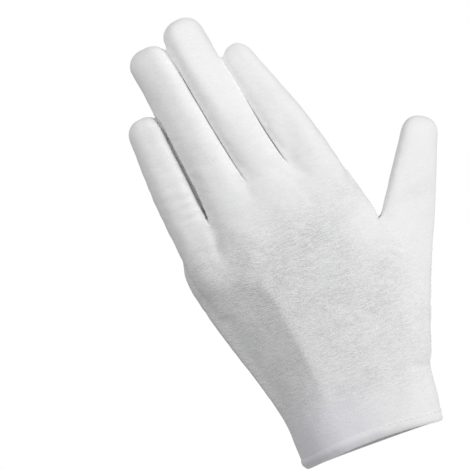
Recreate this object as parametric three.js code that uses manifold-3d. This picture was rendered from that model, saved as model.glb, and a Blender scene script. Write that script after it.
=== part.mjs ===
// White cotton dress glove for the left hand, keeping the form that it has on a raised hand.
// Millimetres. +Z runs from the hem to the fingertips, the back of the hand faces -Y, the thumb is on +X.
// The origin is the middle of the opening at the hem, where the hand goes in.
// Each wall is first laid out flat, with the side seams in the plane y = 0, and then bent into the
// form of the hand, so every piece follows the same curves and the seams stay in line.
import * as THREE from 'three';
import { mergeVertices } from 'three/addons/utils/BufferGeometryUtils.js';
import Module from 'manifold-3d';

const wasm = await Module();
wasm.setup();

// Driving sizes
const cuffLength = 27; // hem to the wrist
const cuffWidth = 68.6;
const cuffDepth = 40;
const palmLength = 110.4; // wrist to the web beside the middle finger
const knuckleSpread = 15.6; // how much wider the hand is than four fingers side by side
const handDepth = 29; // back to palm, at the knuckles
const fingerLength = 82.6; // the middle finger, from its web to its tip
const fingerWidth = 20; // at the middle joint
const fingerDepth = 17.2;
const fingerEnd = 9.5; // the rounded end of a fingertip
const endSquareness = 2.4; // 2 is a round end or section, more is squarer, less is flatter
const thumbSideSquareness = 2.5; // of the hand's section
const palmSquareness = 2.2; // of its little-finger side, on the palm
const backSquareness = 1.5; // the same on the back, where the cloth slopes off straighter
const digitSquareness = 2.4; // of a finger's or the thumb's section
const tipFlat = 0.12; // the share of a fingertip's width left at its very end
const rootSink = 0.72; // the share of a finger's section left at its root, inside the hand
const thumbLength = 51; // from its crotch to its tip
const thumbWidth = 25.8; // at its crotch
const thumbDepth = 23.4;
const thumbLean = 32; // degrees outwards from the hand's axis
const fabric = 1.2; // one layer of the knitted cotton
const seamGap = 0.3; // between two sewn edges
const hemHeight = 5.6;
const hemBulge = 0.7; // how far the folded hem stands out from the cuff
const hemSlant = 2.3; // how far the hem rises on the little finger's side
const hemArch = 2.3; // how far the middle of the hem is drawn towards the fingers
const archDrop = 5; // how far the sides of the hand fall back from its middle
const fingerCurl = 13; // how far the fingertips bend towards the palm
const thumbDrop = 9; // how far the thumb lies towards the palm
const foldDepth = 1.6; // the deepest fold in the cloth

// Sizes that follow
const handWidth = 4 * fingerWidth + knuckleSpread;
const webZ = cuffLength + palmLength;
const gloveLength = webZ + fingerLength;

// Facets
const handSides = 34;
const digitSides = 16;
const handRings = 22;
const digitRings = 8;
const endRings = 4;
const seamColumns = 20;
const seamRows = 22;

// Cross-sections of the cuff. up is a share of cuffLength, left, right and crown of cuffWidth,
// back and palm of cuffDepth. crown is where the section is deepest.
const cuffSections = [
  { up: 0.0, left: -0.5, right: 0.5, crown: -0.13, back: 0.5, palm: 0.5 },
  { up: 0.45, left: -0.5, right: 0.532, crown: -0.16, back: 0.485, palm: 0.495 },
  { up: 0.93, left: -0.498, right: 0.568, crown: -0.19, back: 0.455, palm: 0.48 },
];

// The folded hem from its rolled edge upwards. up is a share of hemHeight, out of hemBulge.
const hemProfile = [
  { up: 0.0, out: -0.5 },
  { up: 0.12, out: 0.2 },
  { up: 0.45, out: 0.75 },
  { up: 0.78, out: 1.0 },
  { up: 1.0, out: 0.2 },
];

// Cross-sections of the hand. up is a share of palmLength, left, right and crown of handWidth,
// back and palm of handDepth. The last rows close the webs between the fingers.
const handSections = [
  { up: 0.07, left: -0.37, right: 0.448, crown: -0.136, back: 0.61, palm: 0.655 },
  { up: 0.171, left: -0.393, right: 0.466, crown: -0.136, back: 0.59, palm: 0.645 },
  { up: 0.316, left: -0.435, right: 0.472, crown: -0.141, back: 0.565, palm: 0.62 },
  { up: 0.46, left: -0.473, right: 0.476, crown: -0.157, back: 0.54, palm: 0.58 },
  { up: 0.598, left: -0.504, right: 0.475, crown: -0.17, back: 0.5, palm: 0.52 },
  { up: 0.689, left: -0.517, right: 0.466, crown: -0.15, back: 0.465, palm: 0.475 },
  { up: 0.769, left: -0.505, right: 0.447, crown: -0.1, back: 0.425, palm: 0.43 },
  { up: 0.825, left: -0.46, right: 0.434, crown: -0.05, back: 0.388, palm: 0.39 },
  { up: 0.874, left: -0.33, right: 0.421, crown: 0.0, back: 0.35, palm: 0.35 },
  { up: 0.927, left: -0.28, right: 0.396, crown: 0.04, back: 0.305, palm: 0.305 },
  { up: 0.972, left: -0.19, right: 0.335, crown: 0.06, back: 0.235, palm: 0.235 },
  { up: 1.0, left: -0.095, right: 0.2, crown: 0.06, back: 0.14, palm: 0.14 },
];

// Fingers. rootX, tipX and bow are shares of handWidth, rootUp of palmLength, length (from the
// web beside the middle finger) of fingerLength, the widths of fingerWidth, and drop of fingerCurl.
const fingers = [
  {
    name: 'little', rootX: -0.373, rootUp: 0.5525, tipX: -0.4025, length: 0.569, bow: -0.0108,
    rootWidth: 1.01, midWidth: 1.005, endWidth: 0.865, drop: 0.2,
  },
  {
    name: 'ring', rootX: -0.15, rootUp: 0.672, tipX: -0.258, length: 0.928, bow: 0.006,
    rootWidth: 1.34, midWidth: 1.11, endWidth: 0.96, drop: 0.0,
  },
  {
    name: 'middle', rootX: 0.113, rootUp: 0.712, tipX: -0.049, length: 1.0, bow: -0.015,
    rootWidth: 1.085, midWidth: 1.09, endWidth: 0.95, drop: 0.0,
  },
  {
    name: 'index', rootX: 0.347, rootUp: 0.752, tipX: 0.147, length: 0.747, bow: -0.0065,
    rootWidth: 1.0, midWidth: 1.085, endWidth: 0.69, drop: 0.4,
  },
];

// The thumb's crotch, as shares of handWidth and palmLength, and its sizes along its own axis.
// along is a share of thumbLength from the crotch, wide of thumbWidth, back and palm of thumbDepth.
const thumbCrotch = { x: 0.479, up: 0.624 };
const thumbSections = [
  { along: -1.15, wide: 1.4, back: 0.34, palm: 0.46 },
  { along: -1.0, wide: 1.35, back: 0.4, palm: 0.58 },
  { along: -0.69, wide: 1.22, back: 0.46, palm: 0.64 },
  { along: -0.23, wide: 1.045, back: 0.475, palm: 0.6 },
  { along: 0.0, wide: 1.0, back: 0.47, palm: 0.54 },
  { along: 0.5, wide: 0.82, back: 0.415, palm: 0.415 },
  { along: 0.8, wide: 0.705, back: 0.36, palm: 0.36 },
  { along: 1.0, wide: 0.66, back: 0.33, palm: 0.33 },
];

// Where the thumb is sewn in: a plane through its crotch, square to these directions together.
const thumbSeam = { outwards: 0.993, towardsPalm: 0.22, upwards: 0.116 };

// Relief of the cloth. x is a share of handWidth and up of palmLength. long and wide are half-sizes
// as shares of handWidth, turn is in degrees from the hand's axis towards the thumb, and rise is
// a share of foldDepth, outwards where it is positive.
const backRelief = [
  { x: 0.3, up: 0.772, long: 0.1, wide: 0.09, turn: 0, rise: 0.8 }, // index knuckle
  { x: 0.07, up: 0.812, long: 0.1, wide: 0.09, turn: 0, rise: 0.9 }, // middle knuckle
  { x: -0.17, up: 0.772, long: 0.1, wide: 0.08, turn: 0, rise: 0.8 }, // ring knuckle
  { x: -0.4, up: 0.682, long: 0.1, wide: 0.07, turn: 0, rise: 0.7 }, // little knuckle
  { x: -0.335, up: 0.782, long: 0.1, wide: 0.04, turn: 20, rise: -1.0 }, // below the ring web
  { x: 0.215, up: 0.961, long: 0.07, wide: 0.035, turn: -45, rise: -0.7 }, // beside the index web
  { x: 0.13, up: 0.951, long: 0.13, wide: 0.04, turn: -38, rise: -0.6 }, // over the middle knuckle
  { x: -0.38, up: 0.612, long: 0.04, wide: 0.1, turn: 0, rise: -0.6 }, // below the little knuckle
  { x: 0.39, up: 0.0, long: 0.05, wide: 0.045, turn: 0, rise: -1.0 }, // pinch at the wrist
];
const palmRelief = [
  { x: -0.28, up: 0.294, long: 0.26, wide: 0.14, turn: 0, rise: 1.5 }, // heel of the hand
  { x: 0.02, up: 0.453, long: 0.22, wide: 0.13, turn: 10, rise: -1.8 }, // hollow of the palm
  { x: 0.0, up: 0.752, long: 0.06, wide: 0.3, turn: 0, rise: 0.9 }, // pads below the fingers
];

const white = new THREE.Color(0xf1f1f2);
const cloth = new THREE.MeshStandardMaterial({ color: white, roughness: 0.95, metalness: 0 });

const knuckleZ = handZ(0.81);
const thumbAngle = THREE.MathUtils.degToRad(thumbLean);
const { clamp, lerp, smoothstep } = THREE.MathUtils;

/** The height of a place in the hand that is given as a share of palmLength. */
function handZ(up) {
  return cuffLength + up * palmLength;
}

/** A smooth curve through a table's rows: a function of the column `key` that gives the others. */
function curveThrough(rows, key) {
  const columns = Object.keys(rows[0]).filter((column) => column !== key);
  const places = rows.map((row) => row[key]);
  const values = rows.flatMap((row) => columns.map((column) => row[column]));
  const curve = new THREE.CubicInterpolant(places, values, columns.length);
  return (place) => {
    const found = curve.evaluate(place);
    return Object.fromEntries(columns.map((column, i) => [column, found[i]]));
  };
}

/** The cuff's and the hand's cross-sections as one table in millimetres. */
function bodyTable() {
  const cuff = cuffSections.map((row) => ({
    z: row.up * cuffLength,
    left: row.left * cuffWidth,
    right: row.right * cuffWidth,
    crown: row.crown * cuffWidth,
    back: row.back * cuffDepth,
    palm: row.palm * cuffDepth,
  }));
  const hand = handSections.map((row) => ({
    z: handZ(row.up),
    left: row.left * handWidth,
    right: row.right * handWidth,
    crown: row.crown * handWidth,
    back: row.back * handDepth,
    palm: row.palm * handDepth,
  }));
  return [...cuff, ...hand];
}

const bodyAt = curveThrough(bodyTable(), 'z');

/** A point of a superellipse's quarter: the share of a half-size reached at this cosine or sine. */
function rounded(value, power) {
  return Math.sign(value) * Math.abs(value) ** (2 / power);
}

/** One closed cross-section of the cuff or hand at height z, moved outwards by `grow`. */
function bodyRing(z, grow) {
  const section = bodyAt(z);
  const ring = [];
  for (let i = 0; i < handSides; i += 1) {
    const angle = (2 * Math.PI * i) / handSides;
    const across = Math.cos(angle);
    const through = Math.sin(angle);
    const littleSide = through > 0 ? palmSquareness : backSquareness;
    const power = across > 0 ? thumbSideSquareness : littleSide;
    const reach = (across > 0 ? section.right - section.crown : section.crown - section.left) + grow;
    const depth = (through > 0 ? section.palm : section.back) + grow;
    ring.push([section.crown + reach * rounded(across, power), depth * rounded(through, power), z]);
  }
  return ring;
}

/** Joins closed rings of equal count into one closed body, fans at its ends, bent into form. */
function loft(rings) {
  const count = rings[0].length;
  const points = rings.flat();
  const faces = [];
  for (let r = 0; r + 1 < rings.length; r += 1) {
    for (let i = 0; i < count; i += 1) {
      const here = r * count + i;
      const next = r * count + ((i + 1) % count);
      faces.push([here, next, next + count], [here, next + count, here + count]);
    }
  }
  for (const [end, flip] of [[0, true], [rings.length - 1, false]]) {
    const ring = rings[end];
    const middle = [0, 1, 2].map((axis) => ring.reduce((sum, p) => sum + p[axis], 0) / count);
    points.push(middle);
    for (let i = 0; i < count; i += 1) {
      const here = end * count + i;
      const next = end * count + ((i + 1) % count);
      faces.push(flip ? [points.length - 1, next, here] : [points.length - 1, here, next]);
    }
  }
  const geometry = new THREE.BufferGeometry();
  const form = points.flatMap(([x, y, z]) => bent(x, y, z));
  geometry.setAttribute('position', new THREE.Float32BufferAttribute(form, 3));
  geometry.setIndex(faces.flat());
  return solidOf(geometry);
}

/** A closed geometry as a solid that can be joined and cut. */
function solidOf(geometry) {
  geometry.deleteAttribute('normal');
  geometry.deleteAttribute('uv');
  const merged = mergeVertices(geometry);
  return new wasm.Manifold(
    new wasm.Mesh({
      numProp: 3,
      vertProperties: new Float32Array(merged.attributes.position.array),
      triVerts: new Uint32Array(merged.index.array),
    }),
  );
}

/** The cuff and hand, walls moved outwards by `grow`, from height `low` to the finger webs. */
function bodySolid(grow, low) {
  const rings = [];
  for (let i = 0; i <= handRings; i += 1) {
    const z = lerp(low, webZ + grow, i / handRings);
    rings.push(bodyRing(z, grow));
  }
  return loft(rings);
}

/** One ring across a finger or thumb, square to its axis, which leans in the plane y = 0.
 * `half` holds its half-width and its depths at the back and palm, each moved outwards by `grow`
 * and then scaled by `share`. */
function digitRing({ centre, lean }, half, grow, share) {
  const ring = [];
  for (let i = 0; i < digitSides; i += 1) {
    const angle = (2 * Math.PI * i) / digitSides;
    const side = share * (half.wide + grow) * rounded(Math.cos(angle), digitSquareness);
    const through = rounded(Math.sin(angle), digitSquareness);
    const depth = share * ((through > 0 ? half.palm : half.back) + grow) * through;
    ring.push([centre.x + side * Math.cos(lean), depth, centre.z - side * Math.sin(lean)]);
  }
  return ring;
}

/** The share of a digit's half-sizes left at a share of the way along its rounded end. */
function endRounding(along) {
  return (1 - along ** endSquareness) ** (1 / endSquareness);
}

/**
 * A finger or thumb: `axis` gives the centre and lean at a distance along it, and `halfSizes` its
 * half-sizes there. It starts at `start`, with the share `sink` of its section left, and its
 * rounded end stops at `length`.
 */
function digitSolid(axis, halfSizes, start, length, grow, sink) {
  const round = fingerEnd + grow;
  const full = length + grow;
  const rings = [];
  for (let i = 0; i < digitRings; i += 1) {
    const along = lerp(start, full - round, i / digitRings);
    rings.push(digitRing(axis(along), halfSizes(along), grow, i === 0 ? sink : 1));
  }
  for (let i = 0; i <= endRings; i += 1) {
    const share = Math.sin((0.5 * Math.PI * i) / endRings);
    const along = full - round + share * round;
    const left = Math.max(endRounding(share), tipFlat);
    rings.push(digitRing(axis(along), halfSizes(along), grow, left));
  }
  return loft(rings);
}

/** A finger's axis, from its root in the hand to its tip, with its lean at each place. */
function fingerLine(finger) {
  const root = { x: finger.rootX * handWidth, z: handZ(finger.rootUp) };
  const tip = { x: finger.tipX * handWidth, z: webZ + finger.length * fingerLength };
  const length = Math.hypot(tip.x - root.x, tip.z - root.z);
  const bow = finger.bow * handWidth;
  const axis = (along) => {
    const share = along / length;
    const x = lerp(root.x, tip.x, share) + 4 * bow * share * (1 - share);
    const slope = (tip.x - root.x + 4 * bow * (1 - 2 * share)) / (tip.z - root.z);
    return { centre: { x, z: lerp(root.z, tip.z, share) }, lean: Math.atan(slope) };
  };
  return { axis, length, root, tip };
}

const fingerLines = fingers.map(fingerLine);

/** One finger, with its walls moved outwards by `grow`. */
function fingerSolid(finger, line, grow) {
  const widthAt = curveThrough(
    [
      { along: 0, wide: finger.rootWidth },
      { along: 0.5, wide: finger.midWidth },
      { along: 1, wide: finger.endWidth },
    ],
    'along',
  );
  const halfSizes = (along) => {
    const { wide } = widthAt(along / line.length);
    const deep = (wide * fingerDepth) / 2;
    return { wide: (wide * fingerWidth) / 2, back: deep, palm: deep };
  };
  return digitSolid(line.axis, halfSizes, 0, line.length, grow, rootSink);
}

/** The thumb, with its walls moved outwards by `grow`. */
function thumbSolid(grow) {
  const crotch = { x: thumbCrotch.x * handWidth, z: handZ(thumbCrotch.up) };
  const out = { x: Math.sin(thumbAngle), z: Math.cos(thumbAngle) };
  const centreX = crotch.x + (thumbWidth / 2) * out.z;
  const centreZ = crotch.z - (thumbWidth / 2) * out.x;
  const axis = (along) => ({
    centre: { x: centreX + along * out.x, z: centreZ + along * out.z },
    lean: thumbAngle,
  });
  const sizeAt = curveThrough(thumbSections, 'along');
  const halfSizes = (along) => {
    const { wide, back, palm } = sizeAt(along / thumbLength);
    return { wide: (wide * thumbWidth) / 2, back: back * thumbDepth, palm: palm * thumbDepth };
  };
  return digitSolid(axis, halfSizes, thumbSections[0].along * thumbLength, thumbLength, grow, 1);
}

/** The flat glove as one solid: the hand, its fingers and its thumb, moved outwards by `grow`. */
function gloveSolid(grow, low) {
  const digits = fingers.map((finger, i) => fingerSolid(finger, fingerLines[i], grow));
  return [...digits, thumbSolid(grow)].reduce((sum, digit) => sum.add(digit), bodySolid(grow, low));
}

/** A large block on the far side of the plane through `point` square to `normal`. */
function blockBeyond(point, normal) {
  const size = 2 * gloveLength;
  const box = new THREE.BoxGeometry(size, size, size);
  const turn = new THREE.Quaternion().setFromUnitVectors(new THREE.Vector3(0, 0, 1), normal);
  const centre = point.clone().addScaledVector(normal, size / 2);
  box.applyMatrix4(new THREE.Matrix4().compose(centre, turn, new THREE.Vector3(1, 1, 1)));
  return solidOf(box);
}

/** A block over the glove's palm half. Its inner face is the surface in which the side seams lie,
 * moved towards the palm by `offset`. */
function palmSideBlock(offset) {
  const deep = gloveLength;
  const box = new THREE.BoxGeometry(3 * handWidth, deep, 1.4 * gloveLength, seamColumns, 1, seamRows);
  box.translate(0, deep / 2 + offset, gloveLength / 2);
  const places = box.attributes.position;
  for (let i = 0; i < places.count; i += 1) {
    places.setY(i, places.getY(i) + bendAt(places.getX(i), places.getZ(i)));
  }
  return solidOf(box);
}

/** The folded hem: a band of twice the fabric's thickness that stands out from the cuff. */
function hemSolid() {
  const rings = hemProfile.map((row) => bodyRing(row.up * hemHeight, row.out * hemBulge));
  const ends = [-fabric, hemHeight + fabric];
  const inside = loft(ends.map((z) => bodyRing(z, -2 * fabric)));
  return loft(rings).subtract(inside);
}

/** How far towards the palm the middle of the cloth lies at this place of the flat glove. */
function bendAt(x, z) {
  const middle = -0.05 * handWidth;
  const rise = smoothstep(z, 0.4 * cuffLength, handZ(0.55));
  const curl = fingerCurl * clamp((z - knuckleZ) / (gloveLength - knuckleZ), 0, 1) ** 2;
  const arch = archDrop * rise * ((x - middle) / (handWidth / 2)) ** 2;
  let bend = Math.min(arch + curl, archDrop + fingerCurl);
  bend += thumbDrop * smoothstep(x, 0.36 * handWidth, 0.75 * handWidth);
  fingers.forEach((finger, i) => {
    const { axis, length, root, tip } = fingerLines[i];
    const share = clamp((z - root.z) / (tip.z - root.z), 0, 1);
    const away = Math.abs(x - axis(share * length).centre.x) / fingerWidth;
    const near = 1 - smoothstep(away, 0.35, 1.15);
    bend += finger.drop * fingerCurl * near * smoothstep(share, 0.15, 1);
  });
  return bend;
}

/** How far the cloth stands out at this place, from the rows of one relief table. */
function reliefAt(table, x, z) {
  let out = 0;
  for (const row of table) {
    const turn = THREE.MathUtils.degToRad(row.turn);
    const dx = x - row.x * handWidth;
    const dz = z - handZ(row.up);
    const along = (dz * Math.cos(turn) + dx * Math.sin(turn)) / (row.long * handWidth);
    const across = (dx * Math.cos(turn) - dz * Math.sin(turn)) / (row.wide * handWidth);
    out += row.rise * foldDepth * Math.exp(-(along ** 2 + across ** 2));
  }
  return out;
}

/** Where one point of the flat glove lies on the bent one. */
function bent(x, y, z) {
  const nearHem = 1 - smoothstep(z, hemHeight, 2 * cuffLength);
  const across = clamp(x / (cuffWidth / 2), -1, 1);
  const lift = hemArch * (1 - across ** 2) - hemSlant * across;
  const clear = smoothstep(Math.abs(y), 0, 0.25 * handDepth);
  const relief = y < 0 ? -reliefAt(backRelief, x, z) : reliefAt(palmRelief, x, z);
  return [x, y + bendAt(x, z) + clear * relief, z + nearHem * lift];
}

/** A named mesh of one piece. */
function pieceMesh(name, solid) {
  const { vertProperties, triVerts } = solid.getMesh();
  const geometry = new THREE.BufferGeometry();
  geometry.setAttribute('position', new THREE.Float32BufferAttribute(Array.from(vertProperties), 3));
  geometry.setIndex(Array.from(triVerts));
  geometry.computeVertexNormals();
  const mesh = new THREE.Mesh(geometry, cloth);
  mesh.name = name;
  return mesh;
}

/** The glove's pieces, cut from one hollow form along its seams. */
function buildGlove() {
  const shell = gloveSolid(0, hemHeight + seamGap).subtract(gloveSolid(-fabric, 0));

  const across = new THREE.Vector3(thumbSeam.outwards, thumbSeam.towardsPalm, thumbSeam.upwards);
  across.normalize();
  const crotch = { x: thumbCrotch.x * handWidth, z: handZ(thumbCrotch.up) };
  const start = new THREE.Vector3(...bent(crotch.x, 0, crotch.z));
  const end = start.clone().addScaledVector(across, -seamGap);
  const thumb = shell.intersect(blockBeyond(start, across));
  const panels = shell.subtract(blockBeyond(end, across));

  const glove = new THREE.Group();
  glove.add(
    pieceMesh('back_panel', panels.subtract(palmSideBlock(-seamGap / 2))),
    pieceMesh('palm_panel', panels.intersect(palmSideBlock(seamGap / 2))),
    pieceMesh('thumb', thumb),
    pieceMesh('hem', hemSolid()),
  );
  return glove;
}

const glove = buildGlove();

export default glove;
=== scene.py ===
"""A white knitted-cotton glove for the left hand, in the form of a raised hand.

The glove is worked out flat, with its side seams in the plane y = 0, as one smooth form in
millimetres. It is cut along its seams, bent into the hand's form, folded, creased and sewn.
"""

import logging
import math
from collections.abc import Callable
from dataclasses import dataclass, field
from enum import Enum

import bmesh
import bpy
import numpy as np
from mathutils import Matrix, Vector


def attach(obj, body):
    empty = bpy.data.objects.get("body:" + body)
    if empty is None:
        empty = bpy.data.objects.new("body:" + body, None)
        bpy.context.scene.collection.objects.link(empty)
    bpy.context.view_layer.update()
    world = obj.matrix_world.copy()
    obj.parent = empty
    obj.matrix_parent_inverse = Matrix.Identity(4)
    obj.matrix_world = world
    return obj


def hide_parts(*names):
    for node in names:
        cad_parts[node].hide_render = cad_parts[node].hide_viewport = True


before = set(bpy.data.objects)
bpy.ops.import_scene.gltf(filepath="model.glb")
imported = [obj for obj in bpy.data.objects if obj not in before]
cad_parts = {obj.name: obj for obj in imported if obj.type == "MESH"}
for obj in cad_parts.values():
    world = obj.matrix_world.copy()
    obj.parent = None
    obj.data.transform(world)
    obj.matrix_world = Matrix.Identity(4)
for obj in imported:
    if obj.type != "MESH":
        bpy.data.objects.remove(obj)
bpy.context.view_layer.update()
MM = 0.001
LOG = logging.getLogger("glove")

Array = np.ndarray
Tree = bpy.types.NodeTree
Socket = bpy.types.NodeSocket
Piece = bpy.types.Object
Pair = tuple[float, float]
Triple = tuple[float, float, float]
Line = tuple[Pair, ...]
Measure = Callable[[Array], Array]

# how far apart a form's field, a cut's measure and a slit's are read for a slope, in millimetres
FIELD_REACH = 0.12
CUT_REACH = 0.05
SLIT_REACH = 0.1
# the least slope of a field that a step onto it reckons with, squared
LEAST_STEEP = 0.2
# the least slope of the difference between two fingers' fields
LEAST_SPREAD = 0.5
# stands in for zero where zero can't be raised to a power or divided by
TINY = 1e-6
# the least slopes of the hand's and the digits' fields
BODY_SLOPE = 1.0 / 40.0
DIGIT_SLOPE = 1.0 / 20.0
# past this distance no seam is felt, in millimetres
NO_SEAM = 99.0
# how near to the side seams' plane the inner cloth may come, in millimetres
INNER_GAP = 0.03
# edges with more than this angle between their faces are drawn sharp
SHARP_EDGE = math.radians(60.0)
# cells that keep the noise's places above zero
NOISE_SHIFT = 100.0


class Side(Enum):
    """A side of the hand, with the sign of y on it."""

    BACK = -1
    PALM = 1


@dataclass(frozen=True)
class GloveSizes:
    """The glove's named sizes, in millimetres unless a comment says otherwise."""

    cuff_length: float = 27.0
    cuff_width: float = 68.6
    cuff_depth: float = 40.0
    palm_length: float = 110.4
    hand_width: float = 95.6
    hand_depth: float = 29.0
    finger_length: float = 82.6
    finger_width: float = 20.0
    finger_depth: float = 17.2
    finger_end: float = 9.5
    end_squareness: float = 2.4
    thumb_side_squareness: float = 2.5
    palm_squareness: float = 2.2
    back_squareness: float = 1.5
    cuff_squareness: float = 2.0
    cuff_rounding: Pair = (6.0, 44.0)  # heights between which the back's section changes
    digit_squareness: float = 2.7
    root_sink: float = 0.55
    thumb_length: float = 51.0
    thumb_width: float = 25.8
    thumb_depth: float = 23.4
    thumb_lean: float = 32.0  # degrees
    fabric: float = 1.2
    hem_height: float = 5.6
    hem_bulge: float = 0.7
    hem_slant: float = 2.3
    hem_arch: float = 2.9
    arch_drop: float = 5.0
    finger_curl: float = 13.0
    thumb_drop: float = 9.0
    fold_depth: float = 1.6

    @property
    def web_z(self) -> float:
        """The height of the web beside the middle finger."""
        return self.cuff_length + self.palm_length

    @property
    def glove_length(self) -> float:
        """The height of the middle fingertip."""
        return self.web_z + self.finger_length

    def back_power(self, z: Array) -> Array:
        """The exponent of the back's curve on the little finger's side, rounder towards the hem."""
        share = smoothstep(z, *self.cuff_rounding)
        return self.cuff_squareness + (self.back_squareness - self.cuff_squareness) * share

    def hand_z(self, up: float) -> float:
        """The height of a place given as a share of the palm's length."""
        return self.cuff_length + up * self.palm_length


SIZES = GloveSizes()

# up, left, right, crown, back, palm: shares of the cuff's length, width and depth
CUFF_SECTIONS = (
    (0.0, -0.5, 0.5, -0.13, 0.5, 0.5),
    (0.45, -0.5, 0.532, -0.16, 0.485, 0.495),
    (0.93, -0.498, 0.568, -0.19, 0.455, 0.48),
)

# up, left, right, crown, back, palm: shares of the palm's length and the hand's width and depth
HAND_SECTIONS = (
    (0.07, -0.37, 0.448, -0.136, 0.61, 0.655),
    (0.171, -0.393, 0.466, -0.136, 0.59, 0.645),
    (0.316, -0.435, 0.472, -0.141, 0.565, 0.62),
    (0.46, -0.473, 0.476, -0.157, 0.54, 0.58),
    (0.598, -0.504, 0.475, -0.17, 0.5, 0.52),
    (0.689, -0.517, 0.466, -0.15, 0.465, 0.475),
    (0.769, -0.505, 0.447, -0.1, 0.425, 0.43),
    (0.825, -0.46, 0.434, -0.05, 0.388, 0.39),
    (0.874, -0.33, 0.421, 0.0, 0.35, 0.35),
    (0.927, -0.28, 0.396, 0.04, 0.305, 0.305),
    (0.972, -0.19, 0.335, 0.06, 0.235, 0.235),
    (1.0, -0.095, 0.2, 0.06, 0.14, 0.14),
)

# along, wide, back, palm: shares of the thumb's length, width and depth
THUMB_SECTIONS = (
    (-1.15, 1.4, 0.34, 0.46),
    (-1.0, 1.35, 0.4, 0.58),
    (-0.69, 1.22, 0.46, 0.64),
    (-0.23, 1.045, 0.475, 0.6),
    (0.0, 1.0, 0.47, 0.54),
    (0.5, 0.82, 0.415, 0.415),
    (0.8, 0.705, 0.36, 0.36),
    (1.0, 0.66, 0.33, 0.33),
)

THUMB_CROTCH = (0.479, 0.624)
THUMB_SEAM = Vector((0.993, 0.22, 0.116)).normalized()


@dataclass(frozen=True)
class FingerRow:
    """One finger: places as shares of the hand's width, lengths and widths of the finger's own."""

    name: str
    root_x: float
    root_up: float
    tip_x: float
    length: float
    bow: float
    widths: Triple
    drop: float


FINGERS = (
    FingerRow("little", -0.373, 0.5525, -0.4025, 0.569, -0.0108, (1.01, 1.005, 0.865), 0.2),
    FingerRow("ring", -0.15, 0.672, -0.258, 0.928, 0.006, (1.34, 1.11, 0.96), 0.0),
    FingerRow("middle", 0.113, 0.712, -0.049, 1.0, -0.015, (1.085, 1.09, 0.95), 0.0),
    FingerRow("index", 0.347, 0.752, 0.147, 0.747, -0.0065, (1.0, 1.085, 0.69), 0.4),
)


def smoothstep(value: Array, low: float, high: float) -> Array:
    """A smooth rise from 0 at low to 1 at high.

    Args:
        value: The places to read it at.
        low: Where it starts.
        high: Where it ends.

    Returns:
        The share reached at each place.
    """
    share = np.clip((value - low) / (high - low), 0.0, 1.0)
    return share * share * (3.0 - 2.0 * share)


def blend_union(a: Array, b: Array, radius: Array) -> Array:
    """Joins two distance fields with a rounded valley.

    Args:
        a: The first field, negative inside.
        b: The second field.
        radius: How wide the rounding reaches at each place, in millimetres.

    Returns:
        The joined field.
    """
    share = np.maximum(radius - np.abs(a - b), 0.0) / radius
    return np.minimum(a, b) - share * share * radius * 0.25


def triangle_edges(faces: Array) -> Array:
    """The triangles' edges, one a row: every first edge, then every second and every third."""
    return np.vstack([faces[:, [0, 1]], faces[:, [1, 2]], faces[:, [2, 0]]])


def nudged(points: Array, axis: int, reach: float) -> Array:
    """A copy of the points, moved along one axis."""
    return points + reach * np.eye(3)[axis]


@dataclass
class TableCurve:
    """A smooth curve through the rows of a table, read by its first column.

    Args:
        rows: The table, its first column rising.
        samples: How many times it is read between two rows.
    """

    rows: Array | tuple[tuple[float, ...], ...]
    samples: int = 41
    keys: Array = field(init=False)
    values: Array = field(init=False)

    def __post_init__(self) -> None:
        """Samples the curve finely once, so that reading it is quick."""
        table = np.array(self.rows, float)
        places, columns = table[:, 0], table[:, 1:]
        before = 2.0 * places[0] - places[1]
        after = 2.0 * places[-1] - places[-2]
        padded = np.concatenate([[before], places, [after]])
        held = np.vstack([columns[1], columns, columns[-2]])
        keys, values = [], []
        for i in range(1, len(padded) - 2):
            t0, t1 = padded[i], padded[i + 1]
            p = np.linspace(0.0, 1.0, self.samples)[:, None]
            half = 0.5 * (t1 - t0)
            wp = half / (t0 - padded[i - 1])
            wn = half / (padded[i + 2] - t1)
            p2, p3 = p * p, p * p * p
            value = (-wp * p3 + 2.0 * wp * p2 - wp * p) * held[i - 1]
            value = value + ((1.0 + wp) * p3 + (-1.5 - 2.0 * wp) * p2 + (-0.5 + wp) * p + 1.0) * held[i]
            value = value + ((-1.0 - wn) * p3 + (1.5 + wn) * p2 + 0.5 * p) * held[i + 1]
            value = value + (wn * p3 - wn * p2) * held[i + 2]
            keys.append(t0 + p[:, 0] * (t1 - t0))
            values.append(value)
        self.keys = np.concatenate(keys)
        self.values = np.vstack(values)

    def at(self, place: Array) -> list[Array]:
        """The table's other columns at these places.

        Args:
            place: Where to read the curve.

        Returns:
            One array for each column.
        """
        return [np.interp(place, self.keys, self.values[:, i]) for i in range(self.values.shape[1])]


@dataclass
class SmoothNoise:
    """Soft random unevenness from a seeded lattice, the same in each run.

    Args:
        seed: The lattice's seed.
        cells: How many cells it has each way before it repeats.
    """

    seed: int = 7
    cells: int = 24
    lattice: Array = field(init=False)

    def __post_init__(self) -> None:
        """Fills the lattice."""
        rng = np.random.default_rng(self.seed)
        self.lattice = rng.uniform(-1.0, 1.0, (self.cells,) * 3)

    def at(self, points: Array, scale: Triple) -> Array:
        """The unevenness at each point, between -1 and 1.

        Args:
            points: Places in millimetres, one a row.
            scale: The size of a cell along x, y and z, in millimetres.

        Returns:
            One value for each point.
        """
        place = points / np.array(scale) + NOISE_SHIFT
        low = np.floor(place).astype(int)
        share = place - low
        share = share * share * (3.0 - 2.0 * share)
        total = np.zeros(len(points))
        for corner in range(8):
            step = np.array([corner & 1, (corner >> 1) & 1, corner >> 2])
            cell = (low + step) % self.cells
            weight = np.prod(np.where(step == 1, share, 1.0 - share), axis=1)
            total += weight * self.lattice[cell[:, 0], cell[:, 1], cell[:, 2]]
        return total


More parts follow.
